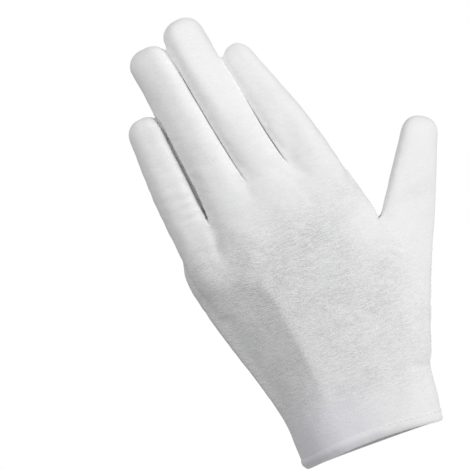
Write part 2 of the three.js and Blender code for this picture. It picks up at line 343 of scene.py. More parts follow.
@dataclass
class DigitAxis:
    """The middle line of a finger or thumb in the flat glove, in the plane y = 0.

    Args:
        root: Its start, as (x, z).
        tip: Its end.
        bow: How far its middle stands aside.
        bow_end: The share of the length up to which the bow turns the line.
        reach: How far aside a point is reckoned to lie at most.
    """

    root: Pair
    tip: Pair
    bow: float = 0.0
    bow_end: float = 1.2
    reach: float = 30.0

    @property
    def length(self) -> float:
        """The straight length from root to tip."""
        return math.hypot(self.tip[0] - self.root[0], self.tip[1] - self.root[1])

    def centre_x(self, share: Array) -> Array:
        """The line's x at a share of its length."""
        return self.root[0] + (self.tip[0] - self.root[0]) * share + 4.0 * self.bow * share * (1.0 - share)

    def place(self, x: Array, z: Array) -> tuple[Array, Array]:
        """Where points lie beside and along the line.

        Args:
            x: The points' x.
            z: Their z.

        Returns:
            The distance aside, and the share of the length.
        """
        rise = self.tip[1] - self.root[1]
        run = self.tip[0] - self.root[0]
        share = (z - self.root[1]) / rise + 0.0 * x
        for _ in range(4):
            slope = (run + 4.0 * self.bow * (1.0 - 2.0 * np.clip(share, 0.0, self.bow_end))) / rise
            lean = np.arctan(slope)
            aside = (x - self.centre_x(share)) / np.cos(lean)
            aside = np.clip(aside, -self.reach, self.reach)
            share = (z + aside * np.sin(lean) - self.root[1]) / rise
        return (x - self.centre_x(share)) / np.cos(lean), share


@dataclass(frozen=True)
class FingerContact:
    """Where one finger presses against the next, with a slit between them.

    Args:
        lower: The number of the finger nearer the little finger's side.
        end: Where the slit ends at the web, as (x, z) in millimetres.
        blend: How far the cloth bulges into the valley, in millimetres.
        width: How wide the slit is on each side of its middle.
        depth: How deep it goes.
        fade: The heights between which it grows shallower towards the fingertips.
    """

    lower: int
    end: Pair
    blend: float
    width: float
    depth: float
    fade: Pair


CONTACTS = (
    FingerContact(0, (-27.7, 126.7), 1.0, 0.6, 12.0, (190.0, 200.0)),
    FingerContact(1, (-6.0, 137.3), 3.0, 0.34, 2.0, (190.0, 205.0)),
    FingerContact(2, (16.0, 137.8), 3.0, 0.34, 2.9, (152.0, 178.0)),
)


@dataclass
class HandForm:
    """The flat glove's smooth outer form, and how it is bent.

    Args:
        sizes: The glove's sizes.
        edge_blend: How softly digits grow out of the hand along its edge, in millimetres.
        face_blend: The same on the hand's back and palm.
        face_start: How far from the middle of the cloth the first turns into the second.
        web_fill: How much more the cloth fills the valleys beside the webs.
        web_span: How far below and above a web that ends.
        bend_middle: Where across the hand its bend is least, as a share of its width.
        palm_rise: Where the bend starts in the cuff and is whole in the palm, as shares of them.
        knuckle_up: Where in the palm the fingers start to curl, as a share of it.
        thumb_fall: Where the thumb's drop starts and is whole, as shares of the hand's width.
        curl_near: How near a finger's own drop is whole and how far it reaches, in its widths.
        curl_start: Where along the finger that starts, as a share of it.
        arch_turn: Where through the cuff the hem's arch is whole and where it has ended.
        root_reach: How far from its root a finger reaches its full section.
    """

    sizes: GloveSizes = SIZES
    edge_blend: float = 1.5
    face_blend: float = 8.0
    face_start: Pair = (2.5, 7.5)
    web_fill: float = 6.0
    web_span: Pair = (-4.0, 14.0)
    bend_middle: float = -0.05
    palm_rise: Pair = (0.4, 0.55)
    knuckle_up: float = 0.81
    thumb_fall: Pair = (0.36, 0.75)
    curl_near: Pair = (0.35, 1.15)
    curl_start: float = 0.15
    arch_turn: Pair = (-6.0, 10.0)
    root_reach: float = 20.0

    def __post_init__(self) -> None:
        """Reads the tables into curves."""
        s = self.sizes
        cuff = np.array(CUFF_SECTIONS) * ([s.cuff_length] + [s.cuff_width] * 3 + [s.cuff_depth] * 2)
        hand = np.array(HAND_SECTIONS) * ([s.palm_length] + [s.hand_width] * 3 + [s.hand_depth] * 2)
        hand[:, 0] += s.cuff_length
        self.body = TableCurve(np.vstack([cuff, hand]))
        self.axes = [
            DigitAxis(
                (f.root_x * s.hand_width, s.hand_z(f.root_up)),
                (f.tip_x * s.hand_width, s.web_z + f.length * s.finger_length),
                f.bow * s.hand_width,
            )
            for f in FINGERS
        ]
        self.widths = [TableCurve(tuple(zip((0.0, 0.5, 1.0), f.widths))) for f in FINGERS]
        self.thumb_sizes = TableCurve(THUMB_SECTIONS)

    @property
    def crotch(self) -> Pair:
        """The thumb's crotch, as (x, z)."""
        return THUMB_CROTCH[0] * self.sizes.hand_width, self.sizes.hand_z(THUMB_CROTCH[1])

    def body_field(self, x: Array, y: Array, z: Array) -> Array:
        """The cuff's and hand's distance field.

        Args:
            x: The points' x, in millimetres.
            y: Their y.
            z: Their z.

        Returns:
            About how far each point is from it, negative inside.
        """
        s = self.sizes
        left, right, crown, back, palm = self.body.at(z)
        across = x - crown
        thumb_side = across > 0
        on_palm = y > 0
        reach = np.where(thumb_side, right - crown, crown - left)
        depth = np.where(on_palm, palm, back)
        little = np.where(on_palm, s.palm_squareness, s.back_power(z))
        power = np.where(thumb_side, s.thumb_side_squareness, little)
        u = np.abs(across) / reach + TINY
        v = np.abs(y) / depth + TINY
        r = (u**power + v**power) ** (1.0 / power)
        slope = np.hypot((u / r) ** (power - 1.0) / reach, (v / r) ** (power - 1.0) / depth)
        wall = (r - 1.0) / np.maximum(slope, BODY_SLOPE)
        return np.maximum(wall, z - s.web_z)

    def digit_field(
        self, aside: Array, y: Array, along: Array, length: float,
        wide: Array, back: Array, palm: Array,
    ) -> Array:
        """A finger's or thumb's distance field.

        Args:
            aside: The distance from the axis in the plane of the hand.
            y: The distance from that plane.
            along: The distance along the axis.
            length: Where the rounded end stops.
            wide: The half-width there.
            back: The half-depth at the back.
            palm: The half-depth at the palm.

        Returns:
            The field, negative inside.
        """
        s, n = self.sizes, self.sizes.digit_squareness
        depth = np.where(y > 0, palm, back)
        u = np.abs(aside) / wide + TINY
        v = np.abs(y) / depth + TINY
        r = (u**n + v**n) ** (1.0 / n)
        slope = np.hypot((u / r) ** (n - 1.0) / wide, (v / r) ** (n - 1.0) / depth)
        end = np.maximum(along - (length - s.finger_end), 0.0) / s.finger_end
        p = s.end_squareness
        total = (r**p + end**p) ** (1.0 / p)
        across = (r / total) ** (p - 1.0) * slope
        lengthwise = (end / total) ** (p - 1.0) / s.finger_end
        return (total - 1.0) / np.maximum(np.hypot(across, lengthwise), DIGIT_SLOPE)

    def finger_field(self, index: int, x: Array, y: Array, z: Array) -> Array:
        """One finger's distance field.

        Args:
            index: The finger's number.
            x: The points' x, in millimetres.
            y: Their y.
            z: Their z.

        Returns:
            About how far each point is from it, negative inside.
        """
        s, axis = self.sizes, self.axes[index]
        aside, share = axis.place(x, z)
        (wide,) = self.widths[index].at(share)
        along = share * axis.length
        wide = wide * (1.0 - (1.0 - s.root_sink) * (1.0 - smoothstep(along, 0.0, self.root_reach)))
        deep = wide * s.finger_depth / 2.0
        tube = self.digit_field(aside, y, along, axis.length, wide * s.finger_width / 2.0, deep, deep)
        return np.maximum(tube, -along)

    def thumb_field(self, x: Array, y: Array, z: Array) -> Array:
        """The thumb's distance field.

        Args:
            x: The points' x, in millimetres.
            y: Their y.
            z: Their z.

        Returns:
            About how far each point is from it, negative inside.
        """
        s = self.sizes
        lean = math.radians(s.thumb_lean)
        out = (math.sin(lean), math.cos(lean))
        cx, cz = self.crotch
        centre = (cx + s.thumb_width / 2.0 * out[1], cz - s.thumb_width / 2.0 * out[0])
        along = (x - centre[0]) * out[0] + (z - centre[1]) * out[1]
        aside = (x - centre[0]) * out[1] - (z - centre[1]) * out[0]
        wide, back, palm = self.thumb_sizes.at(along / s.thumb_length)
        tube = self.digit_field(
            aside, y, along, s.thumb_length, wide * s.thumb_width / 2.0, back * s.thumb_depth,
            palm * s.thumb_depth,
        )
        return np.maximum(tube, THUMB_SECTIONS[0][0] * s.thumb_length - along)

    def field(self, x: Array, y: Array, z: Array) -> Array:
        """The whole flat glove's distance field, negative inside.

        Args:
            x: The points' x, in millimetres.
            y: Their y.
            z: Their z.

        Returns:
            About how far each point is from the surface.
        """
        digits = self.finger_field(0, x, y, z)
        for contact in CONTACTS:
            above = smoothstep(z, *(contact.end[1] + step for step in self.web_span))
            radius = contact.blend + self.web_fill * (1.0 - above)
            digits = blend_union(digits, self.finger_field(contact.lower + 1, x, y, z), radius)
        on_face = smoothstep(np.abs(y), *self.face_start)
        radius = self.edge_blend + (self.face_blend - self.edge_blend) * on_face
        body = blend_union(self.body_field(x, y, z), self.thumb_field(x, y, z), radius)
        return blend_union(body, digits, radius)

    def contact_gap(self, contact: FingerContact, points: Array) -> Array:
        """How far points lie from the middle of the slit between two fingers.

        Args:
            contact: The two fingers' contact.
            points: Places in millimetres, one a row.

        Returns:
            The distance, negative on the side of the lower finger.
        """
        lower, upper = contact.lower, contact.lower + 1

        def unlike(p: Array) -> Array:
            """The difference between the two fingers' fields."""
            return self.finger_field(lower, *p.T) - self.finger_field(upper, *p.T)

        reach = np.array([SLIT_REACH, 0.0, 0.0])
        slope = (unlike(points + reach) - unlike(points - reach)) / (2.0 * SLIT_REACH)
        return unlike(points) / np.maximum(np.abs(slope), LEAST_SPREAD)

    def bend(self, x: Array, z: Array) -> Array:
        """How far towards the palm the middle of the cloth lies.

        Args:
            x: The points' x, in millimetres.
            z: Their z.

        Returns:
            The move along y.
        """
        s = self.sizes
        middle = self.bend_middle * s.hand_width
        knuckle = s.hand_z(self.knuckle_up)
        rise = smoothstep(z, self.palm_rise[0] * s.cuff_length, s.hand_z(self.palm_rise[1]))
        curl = s.finger_curl * np.clip((z - knuckle) / (s.glove_length - knuckle), 0.0, 1.0) ** 2
        arch = s.arch_drop * rise * ((x - middle) / (s.hand_width / 2.0)) ** 2
        total = np.minimum(arch + curl, s.arch_drop + s.finger_curl)
        total = total + s.thumb_drop * smoothstep(x, *(at * s.hand_width for at in self.thumb_fall))
        for finger, axis in zip(FINGERS, self.axes):
            if not finger.drop:
                continue
            share = np.clip((z - axis.root[1]) / (axis.tip[1] - axis.root[1]), 0.0, 1.0)
            away = np.abs(x - axis.centre_x(share)) / s.finger_width
            near = 1.0 - smoothstep(away, *self.curl_near)
            curled = smoothstep(share, self.curl_start, 1.0)
            total = total + finger.drop * s.finger_curl * near * curled
        return total

    def bent(self, flat: Array) -> Array:
        """Where points of the flat glove lie on the bent one.

        Args:
            flat: The points, one a row, in millimetres.

        Returns:
            Their places.
        """
        s = self.sizes
        x, y, z = flat.T
        near_hem = 1.0 - smoothstep(z, s.hem_height, 2.0 * s.cuff_length)
        across = np.clip(x / (s.cuff_width / 2.0), -1.0, 1.0)
        arch = s.hem_arch * (1.0 - smoothstep(y, *self.arch_turn))
        lift = arch * (1.0 - across**2) - s.hem_slant * across
        return np.column_stack([x, y + self.bend(x, z), z + near_hem * lift])

    def beyond_thumb_seam(self, points: Array) -> Array:
        """How far points of the flat glove lie beyond the plane of the thumb's seam.

        Args:
            points: Places in millimetres, one a row.

        Returns:
            The distance, positive on the thumb.
        """
        cx, cz = self.crotch
        start = self.bent(np.array([[cx, 0.0, cz]]))[0]
        return (self.bent(points) - start) @ np.array(THUMB_SEAM)

    def slope(self, points: Array) -> tuple[Array, Array]:
        """The form's field and the direction in which it grows, at these points.

        Args:
            points: Places in millimetres, one a row.

        Returns:
            The field's values and its gradients.
        """
        reach = FIELD_REACH
        here = self.field(*points.T)
        rise = np.zeros_like(points)
        for axis in range(3):
            ahead = self.field(*nudged(points, axis, reach).T)
            behind = self.field(*nudged(points, axis, -reach).T)
            rise[:, axis] = (ahead - behind) / (2.0 * reach)
        return here, rise

    def outward(self, points: Array) -> Array:
        """The outward direction at each point, as unit vectors."""
        _, rise = self.slope(points)
        return rise / np.maximum(np.linalg.norm(rise, axis=1), TINY)[:, None]

    def onto(self, points: Array, rounds: int = 5, limit: float = 2.0) -> Array:
        """Moves points onto the form's surface.

        Args:
            points: Places in millimetres, one a row.
            rounds: How many steps they take.
            limit: The longest step, in millimetres.

        Returns:
            Their new places.
        """
        moved = points.copy()
        for _ in range(rounds):
            value, rise = self.slope(moved)
            steep = np.maximum((rise**2).sum(axis=1), LEAST_STEEP)
            moved -= np.clip(value / steep, -limit, limit)[:, None] * rise
        return moved


@dataclass(frozen=True)
class Swell:
    """A soft rise or hollow of the cloth, outwards where rise is positive.

    Shares of the hand's width and the palm's length, a turn in degrees and a rise in
    shares of the fold depth, as in the part's own tables.
    """

    x: float
    up: float
    long: float
    wide: float
    turn: float
    rise: float


BACK_SWELLS = (
    Swell(0.3, 0.772, 0.12, 0.1, 0.0, 0.6),
    Swell(0.07, 0.812, 0.12, 0.1, 0.0, 0.7),
    Swell(-0.17, 0.772, 0.12, 0.1, 0.0, 0.7),
    Swell(-0.4, 0.682, 0.12, 0.08, 0.0, 0.5),
    Swell(-0.335, 0.782, 0.12, 0.05, 20.0, -0.4),
    Swell(0.2, 0.961, 0.09, 0.05, -40.0, -0.35),
    Swell(-0.38, 0.612, 0.05, 0.12, 0.0, -0.15),
    Swell(0.39, 0.0, 0.05, 0.045, 0.0, -1.0),
    Swell(0.225, 1.1, 0.13, 0.06, 15.0, -0.7),
)
PALM_SWELLS = (
    Swell(-0.28, 0.294, 0.26, 0.14, 0.0, 1.5),
    Swell(0.02, 0.453, 0.22, 0.13, 10.0, -1.8),
    Swell(0.0, 0.752, 0.06, 0.3, 0.0, 0.9),
)


@dataclass(frozen=True)
class Fold:
    """A fold or crease along a line of (x, z) points, in millimetres.

    height is outwards where it is positive, and width is how far it reaches on each side.
    """

    name: str
    side: Side
    line: Line
    width: float
    height: float


FOLDS = (
    Fold("below the little web", Side.BACK, ((-27.7, 128.0), (-29.0, 118.1), (-32.5, 108.0)), 2.4, -0.6),
    Fold("beside the ring knuckle", Side.BACK, ((-32.0, 132.0), (-32.1, 113.3), (-34.5, 102.0)), 2.6, 0.3),
    Fold("below the ring web", Side.BACK, ((-6.0, 139.0), (-5.6, 132.0), (-5.7, 126.7)), 2.2, -0.3),
    Fold("below the index web", Side.BACK, ((15.0, 141.0), (19.2, 133.0), (25.0, 126.0)), 2.6, -0.4),
    Fold("over the middle knuckle", Side.BACK, ((4.2, 144.3), (13.4, 131.5), (21.4, 120.7)), 2.2, -0.25),
    Fold("thumb wrinkle", Side.BACK, ((41.6, 80.6), (44.6, 76.6), (47.6, 74.0)), 1.1, -0.6),
    Fold("thumb wrinkle, outer", Side.BACK, ((44.2, 84.4), (47.4, 80.6), (50.6, 78.4)), 1.1, -0.5),
    Fold("wrist pinch", Side.BACK, ((39.5, 23.0), (34.2, 27.3), (29.8, 29.2)), 1.2, -0.4),
)


@dataclass(frozen=True)
class Slope:
    """A line past which the cloth falls away, on the right of the line as it is drawn.

    width is how far the fall reaches, drop how deep it is and soft how rounded its upper edge,
    in millimetres. Between the two heights of fade it grows weaker, down to the share kept, and it
    starts between the two heights of rise.
    """

    name: str
    side: Side
    line: Line
    width: float
    drop: float
    soft: float
    fade: Pair
    kept: float
    rise: Pair


SLOPES = (
    Slope(
        "crown of the hand", Side.BACK,
        (
            (-75.0, 103.0), (-38.0, 96.5), (-27.0, 94.0), (-20.5, 91.0), (-16.8, 86.0), (-15.4, 79.0),
            (-15.3, 70.0), (-14.2, 59.2), (-12.9, 48.3), (-12.1, 40.8), (-12.2, 33.6), (-11.4, 24.0),
            (-9.4, 14.0), (-8.4, 4.0),
        ),
        5.0, 3.1, 1.9, (80.0, 98.0), 0.45, (12.0, 50.0),
    ),
    Slope(
        "thumb seam", Side.BACK, ((53.0, 70.0), (51.3, 76.0), (49.3, 83.2), (47.0, 91.6), (43.6, 103.0)),
        1.5, 1.6, 0.5, (97.0, 106.0), 0.0, (68.0, 80.0),
    ),
)


@dataclass(frozen=True)
class CrinklePatch:
    """A place where the cloth is crinkled across the finger, its centre and half-sizes in millimetres."""

    centre: Pair
    wide: float
    long: float
    height: float


CRINKLES = (
    CrinklePatch((-27.5, 148.0), 7.0, 24.0, 0.6),
    CrinklePatch((-39.0, 137.0), 8.0, 22.0, 0.5),
    CrinklePatch((-8.0, 164.0), 6.0, 14.0, 0.6),
    CrinklePatch((13.0, 157.0), 7.0, 14.0, 0.6),
)


def beside_line(flat: Array, line: Line) -> tuple[Array, Array]:
    """Where points lie beside a line of (x, z) points.

    Args:
        flat: Points of the flat glove, one a row, in millimetres.
        line: The line.

    Returns:
        The distance, positive on the right of the line as it is drawn, and the share of its length.
    """
    place = flat[:, [0, 2]]
    points = np.array(line)
    lengths = np.linalg.norm(np.diff(points, axis=0), axis=1)
    starts = np.concatenate([[0.0], np.cumsum(lengths)])
    nearest = np.full(len(flat), np.inf)
    away = np.zeros(len(flat))
    share = np.zeros(len(flat))
    for i, length in enumerate(lengths):
        step = (points[i + 1] - points[i]) / length
        offset = place - points[i]
        along = np.clip(offset @ step, 0.0, length)
        distance = np.linalg.norm(offset - along[:, None] * step, axis=1)
        right = np.where(step[1] * offset[:, 0] - step[0] * offset[:, 1] > 0.0, 1.0, -1.0)
        closer = distance < nearest
        nearest = np.where(closer, distance, nearest)
        away = np.where(closer, right * distance, away)
        share = np.where(closer, (starts[i] + along) / starts[-1], share)
    return away, share


@dataclass
class ClothDetail:
    """Everything that moves the flat cloth in or out: swells, folds, seams and unevenness.

    Args:
        form: The glove's form.
        sizes: The glove's sizes.
        uneven: How strong the unevenness is, in millimetres, with the size of its waves.
        groove: How deep the cloth turns in at a seam, and how wide that is on each side.
        welt: How far it stands up beside a seam, how far from it, and half its width.
        pucker: How uneven it is there, how far from the seam, and half the width.
        pucker_size: The size of that unevenness along x, y and z.
        crinkle: The size of a crinkle along x, y and z.
        crinkle_clear: How far from a slit crinkles start and are whole.
        swell_clear: How deep the cloth lies where swells are whole, as a share of the hand's.
        fold_ends: The shares of a fold's length between which it is whole.
        fold_facing: How deep the cloth lies where folds are whole.
        slope_facing: The same for slopes.
    """

    form: HandForm
    sizes: GloveSizes = SIZES
    uneven: Line = ((0.22, 15.0), (0.1, 6.0), (0.05, 2.6))
    groove: Pair = (0.55, 0.75)
    welt: Triple = (0.16, 1.9, 1.1)
    pucker: Triple = (0.16, 2.2, 2.4)
    pucker_size: Triple = (3.4, 5.0, 3.4)
    crinkle: Triple = (7.0, 6.0, 2.4)
    crinkle_clear: Pair = (0.8, 3.0)
    swell_clear: float = 0.25
    fold_ends: Pair = (0.3, 0.7)
    fold_facing: float = 2.5
    slope_facing: float = 8.0
    noise: SmoothNoise = field(default_factory=SmoothNoise)

    def swells(self, rows: tuple[Swell, ...], x: Array, z: Array) -> Array:
        """How far the cloth stands out, from the rows of one table.

        Args:
            rows: The table.
            x: The points' x, in millimetres.
            z: Their z.

        Returns:
            The height at each point.
        """
        s = self.sizes
        total = np.zeros(len(x))
        for row in rows:
            turn = math.radians(row.turn)
            dx = x - row.x * s.hand_width
            dz = z - s.hand_z(row.up)
            along = (dz * math.cos(turn) + dx * math.sin(turn)) / (row.long * s.hand_width)
            across = (dx * math.cos(turn) - dz * math.sin(turn)) / (row.wide * s.hand_width)
            total += row.rise * s.fold_depth * np.exp(-(along**2 + across**2))
        return total

    def relief(self, flat: Array) -> Array:
        """How far each point moves along y for the swells and slopes.

        Args:
            flat: Points of the flat glove, one a row, in millimetres.

        Returns:
            The move towards the palm.
        """
        x, y, z = flat.T
        clear = smoothstep(np.abs(y), 0.0, self.swell_clear * self.sizes.hand_depth)
        back = -self.swells(BACK_SWELLS, x, z)
        palm = self.swells(PALM_SWELLS, x, z)
        total = clear * np.where(y < 0, back, palm)
        for slope in SLOPES:
            total += self.slope_fall(slope, flat)
        return total

    def fold_height(self, fold: Fold, flat: Array) -> Array:
        """How far one fold moves each point outwards.

        Args:
            fold: The fold.
            flat: Points of the flat glove, one a row, in millimetres.

        Returns:
            The move along the outward direction.
        """
        away, share = beside_line(flat, fold.line)
        start, end = self.fold_ends
        taper = smoothstep(share, 0.0, start) * (1.0 - smoothstep(share, end, 1.0))
        facing = smoothstep(flat[:, 1] * fold.side.value, 0.0, self.fold_facing)
        return fold.height * np.exp(-((away / fold.width) ** 2)) * taper * facing

    def slope_fall(self, slope: Slope, flat: Array) -> Array:
        """How far one slope moves each point along y, towards the middle of the cloth.

        Args:
            slope: The slope.
            flat: Points of the flat glove, one a row, in millimetres.

        Returns:
            The move, with its sign.
        """
        away, _ = beside_line(flat, slope.line)
        past = 0.5 * (away + np.sqrt(away**2 + slope.soft**2))
        fall = slope.drop * (1.0 - np.exp(-past / slope.width))
        facing = smoothstep(flat[:, 1] * slope.side.value, 0.0, self.slope_facing)
        weaker = 1.0 - (1.0 - slope.kept) * smoothstep(flat[:, 2], *slope.fade)
        return -slope.side.value * fall * facing * weaker * smoothstep(flat[:, 2], *slope.rise)

    def crinkle_height(self, flat: Array) -> Array:
        """How far the crinkles across the fingers move each point outwards.

        Args:
            flat: Points of the flat glove, one a row, in millimetres.

        Returns:
            The move along the outward direction.
        """
        x, _, z = flat.T
        total = np.zeros(len(flat))
        for patch in CRINKLES:
            near = ((x - patch.centre[0]) / patch.wide) ** 2 + ((z - patch.centre[1]) / patch.long) ** 2
            total += patch.height * np.exp(-near)
        for contact in CONTACTS:
            away = np.abs(self.form.contact_gap(contact, flat))
            total = total * smoothstep(away, *self.crinkle_clear)
        return total * self.noise.at(flat, self.crinkle)

    def seam_height(self, away: Array, flat: Array, strength: Array) -> Array:
        """How far a seam moves the points beside it outwards.

        Args:
            away: Each point's distance from the seam.
            flat: Points of the flat glove, one a row, in millimetres.
            strength: How deep the seam is there, where 1 is its full depth.

        Returns:
            The move along the outward direction.
        """

        def near(height: float, place: float, width: float) -> Array:
            """A soft ridge beside the seam."""
            return height * np.exp(-(((away - place) / width) ** 2))

        groove = -near(self.groove[0], 0.0, self.groove[1])
        pucker = near(*self.pucker) * self.noise.at(flat, self.pucker_size)
        return strength * (groove + near(*self.welt) + pucker)

    def outward(self, flat: Array, seams: tuple[tuple[Array, Array], ...]) -> Array:
        """How far each point moves outwards, all but the swells together.

        Args:
            flat: Points of the flat glove, one a row, in millimetres.
            seams: Each seam's distances from the points, and its strength there.

        Returns:
            The move along the outward direction.
        """
        total = np.zeros(len(flat))
        for strength, scale in self.uneven:
            total += strength * self.noise.at(flat, (scale, scale, scale))
        for fold in FOLDS:
            total += self.fold_height(fold, flat)
        total += self.crinkle_height(flat)
        for away, strength in seams:
            total += self.seam_height(away, flat, strength)
        return total


@dataclass
class ClothNet:
    """The flat glove's surface as triangles, cut along its seams.

    Args:
        form: The glove's form.
        step: The size of a face, in millimetres.
        low: The height of the lower edge.
        across: The range of x that the net is looked for in.
        layers: How many faces it is looked for in on each side of the middle of the cloth.
        pull: How far a point moves towards its neighbours' middle, as a share.
        snap: How near to a cut a point is moved onto it, as a share of a face.
        slit_edge: How far from a slit's middle its edge lies, as a share of its width.
        slit_aside: How far from a slit's middle it may be cut.
        slit_below: How far below the web it may be cut.
    """

    form: HandForm
    step: float = 0.78
    low: float = 5.0
    across: Pair = (-57.0, 95.0)
    layers: int = 32
    pull: float = 0.6
    snap: float = 0.28
    slit_edge: float = 1.3
    slit_aside: float = 3.0
    slit_below: float = 9.0
    points: Array = field(init=False)
    faces: Array = field(init=False)

    def build(self) -> None:
        """Finds the surface, evens it out and cuts it at its lower edge and the side seams."""
        self.trace()
        for _ in range(3):
            self.even_out()
        self.cut(lambda p: p[:, 2] - self.low)
        middle = self.points[self.faces].mean(axis=1)
        self.faces = self.faces[middle[:, 2] > self.low]
        for contact in CONTACTS:
            self.cut_slit(contact)
        self.cut(lambda p: p[:, 1])
        self.cut(self.form.beyond_thumb_seam)

    def cut_slit(self, contact: FingerContact) -> None:
        """Lays three lines of points along a slit, at its middle and its edges.

        Args:
            contact: The two fingers' contact.
        """

        def beside(p: Array) -> Array:
            """Where the slit may be cut."""
            close = np.abs(self.form.contact_gap(contact, p)) < self.slit_aside
            return close & (p[:, 2] > contact.end[1] - self.slit_below)

        edge = self.slit_edge * contact.width
        for line in (0.0, -edge, edge):
            self.cut(lambda p, at=line: self.form.contact_gap(contact, p) - at, beside)

    def trace(self) -> None:
        """Lays a net of quads on the form's surface and splits them into triangles."""
        step = self.step
        x = np.arange(*self.across, step)
        y = (np.arange(-self.layers, self.layers + 1) + 0.5) * step
        z = np.arange(self.low - 2.5 * step, self.form.sizes.glove_length + 2.0, step)
        values = self.form.field(x[:, None, None], y[None, :, None], z[None, None, :])
        inside = values < 0
        shape = tuple(n - 1 for n in values.shape)
        count = int(np.prod(shape))
        total = np.zeros((count, 3))
        hits = np.zeros(count)
        quads = []
        for axis in range(3):
            low = tuple(slice(None, -1) if a == axis else slice(None) for a in range(3))
            high = tuple(slice(1, None) if a == axis else slice(None) for a in range(3))
            node = np.column_stack(np.nonzero(inside[low] != inside[high]))
            first = values[low][tuple(node.T)]
            second = values[high][tuple(node.T)]
            place = node.astype(float)
            place[:, axis] += first / (first - second)
            u, v = (axis + 1) % 3, (axis + 2) % 3
            inner = (node[:, u] > 0) & (node[:, v] > 0)
            inner &= (node[:, u] < shape[u]) & (node[:, v] < shape[v])
            node, place, first = node[inner], place[inner], first[inner]
            ring = []
            for du, dv in ((0, 0), (-1, 0), (-1, -1), (0, -1)):
                cell = node.copy()
                cell[:, u] += du
                cell[:, v] += dv
                number = np.ravel_multi_index(tuple(cell.T), shape)
                hits += np.bincount(number, minlength=count)
                for a in range(3):
                    total[:, a] += np.bincount(number, weights=place[:, a], minlength=count)
                ring.append(number)
            quad = np.column_stack(ring)
            quads.append(np.where((first < 0)[:, None], quad, quad[:, ::-1]))
        quads = np.vstack(quads)
        used, numbers = np.unique(quads, return_inverse=True)
        quads = numbers.reshape(quads.shape)
        origin = np.array([x[0], y[0], z[0]])
        self.points = total[used] / hits[used][:, None] * step + origin
        a, b, c, d = (self.points[quads[:, i]] for i in range(4))
        short = np.linalg.norm(a - c, axis=1) <= np.linalg.norm(b - d, axis=1)
        one = np.where(short[:, None], quads[:, [0, 1, 2]], quads[:, [0, 1, 3]])
        two = np.where(short[:, None], quads[:, [0, 2, 3]], quads[:, [1, 2, 3]])
        self.faces = np.vstack([one, two])

    def even_out(self) -> None:
        """Moves each point towards the middle of its neighbours and back onto the form."""
        pairs = triangle_edges(self.faces)
        count = len(self.points)
        hits = np.bincount(pairs[:, 0], minlength=count) + np.bincount(pairs[:, 1], minlength=count)
        middle = np.zeros_like(self.points)
        for axis in range(3):
            for here, there in ((0, 1), (1, 0)):
                weights = self.points[pairs[:, there], axis]
                middle[:, axis] += np.bincount(pairs[:, here], weights=weights, minlength=count)
        middle /= hits[:, None]
        moved = self.points + self.pull * (middle - self.points)
        self.points = self.form.onto(moved, 2, self.step)

    def cut(self, measure: Measure, region: Measure | None = None) -> None:
        """Splits the triangles along the line where a measure is zero.

        Args:
            measure: Gives a value for each row of points.
            region: Says which rows of points the line may pass. All where it is left out.
        """
        value = measure(self.points)
        open_to = np.ones(len(value), bool) if region is None else region(self.points)
        near = (np.abs(value) < self.snap * self.step) & open_to
        reach = CUT_REACH
        rise = np.zeros((int(near.sum()), 3))
        close = self.points[near]
        for axis in range(3):
            rise[:, axis] = (measure(nudged(close, axis, reach)) - value[near]) / reach
        steep = np.maximum((rise**2).sum(axis=1), TINY)
        self.points[near] = close - (value[near] / steep)[:, None] * rise
        value[near] = 0.0
        pairs = triangle_edges(self.faces)
        active = np.tile(open_to[self.faces].all(axis=1), 3)
        crossed = active & (value[pairs[:, 0]] * value[pairs[:, 1]] < 0)
        count = len(self.points)
        keys = pairs.min(axis=1) * count + pairs.max(axis=1)
        wanted = np.unique(keys[crossed])
        if not len(wanted):
            return
        a, b = wanted // count, wanted % count
        share = (value[a] / (value[a] - value[b]))[:, None]
        added = self.points[a] * (1.0 - share) + self.points[b] * share
        place = np.searchsorted(wanted, keys)
        found = wanted[np.minimum(place, len(wanted) - 1)] == keys
        middle = np.where(found, count + place, -1).reshape(3, -1).T
        split = (middle >= 0).sum(axis=1)
        parts = [self.faces[split == 0]]
        for turn in range(3):
            order = [(turn + i) % 3 for i in range(3)]
            face, cuts = self.faces[:, order], middle[:, order]
            one = (split == 1) & (cuts[:, 0] >= 0)
            p, q, r = face[one].T
            m = cuts[one, 0]
            parts += [np.column_stack([p, m, r]), np.column_stack([m, q, r])]
            two = (split == 2) & (cuts[:, 0] >= 0) & (cuts[:, 2] >= 0)
            p, q, r = face[two].T
            m, n = cuts[two, 0], cuts[two, 2]
            parts += [np.column_stack([p, m, n]), np.column_stack([m, q, n]), np.column_stack([q, r, n])]
        self.points = np.vstack([self.points, added])
        self.faces = np.vstack(parts)


def mesh_object(name: str, points: Array, faces: Array) -> Piece:
    """Makes a smooth-shaded mesh object.

    Args:
        name: The piece's name.
        points: Its points in millimetres, one a row.
        faces: Rows of point numbers.

    Returns:
        The object, at the origin.
    """
    mesh = bpy.data.meshes.new(name)
    size = faces.shape[1]
    mesh.vertices.add(len(points))
    mesh.vertices.foreach_set("co", (points * MM).astype(np.float32).ravel())
    mesh.loops.add(faces.size)
    mesh.loops.foreach_set("vertex_index", faces.astype(np.int32).ravel())
    mesh.polygons.add(len(faces))
    mesh.polygons.foreach_set("loop_start", np.arange(0, faces.size, size, dtype=np.int32))
    mesh.polygons.foreach_set("use_smooth", np.ones(len(faces), bool))
    mesh.update(calc_edges=True)
    mesh.validate()
    mesh.set_sharp_from_angle(angle=SHARP_EDGE)
    made = bpy.data.objects.new(name, mesh)
    bpy.context.scene.collection.objects.link(made)
    return made


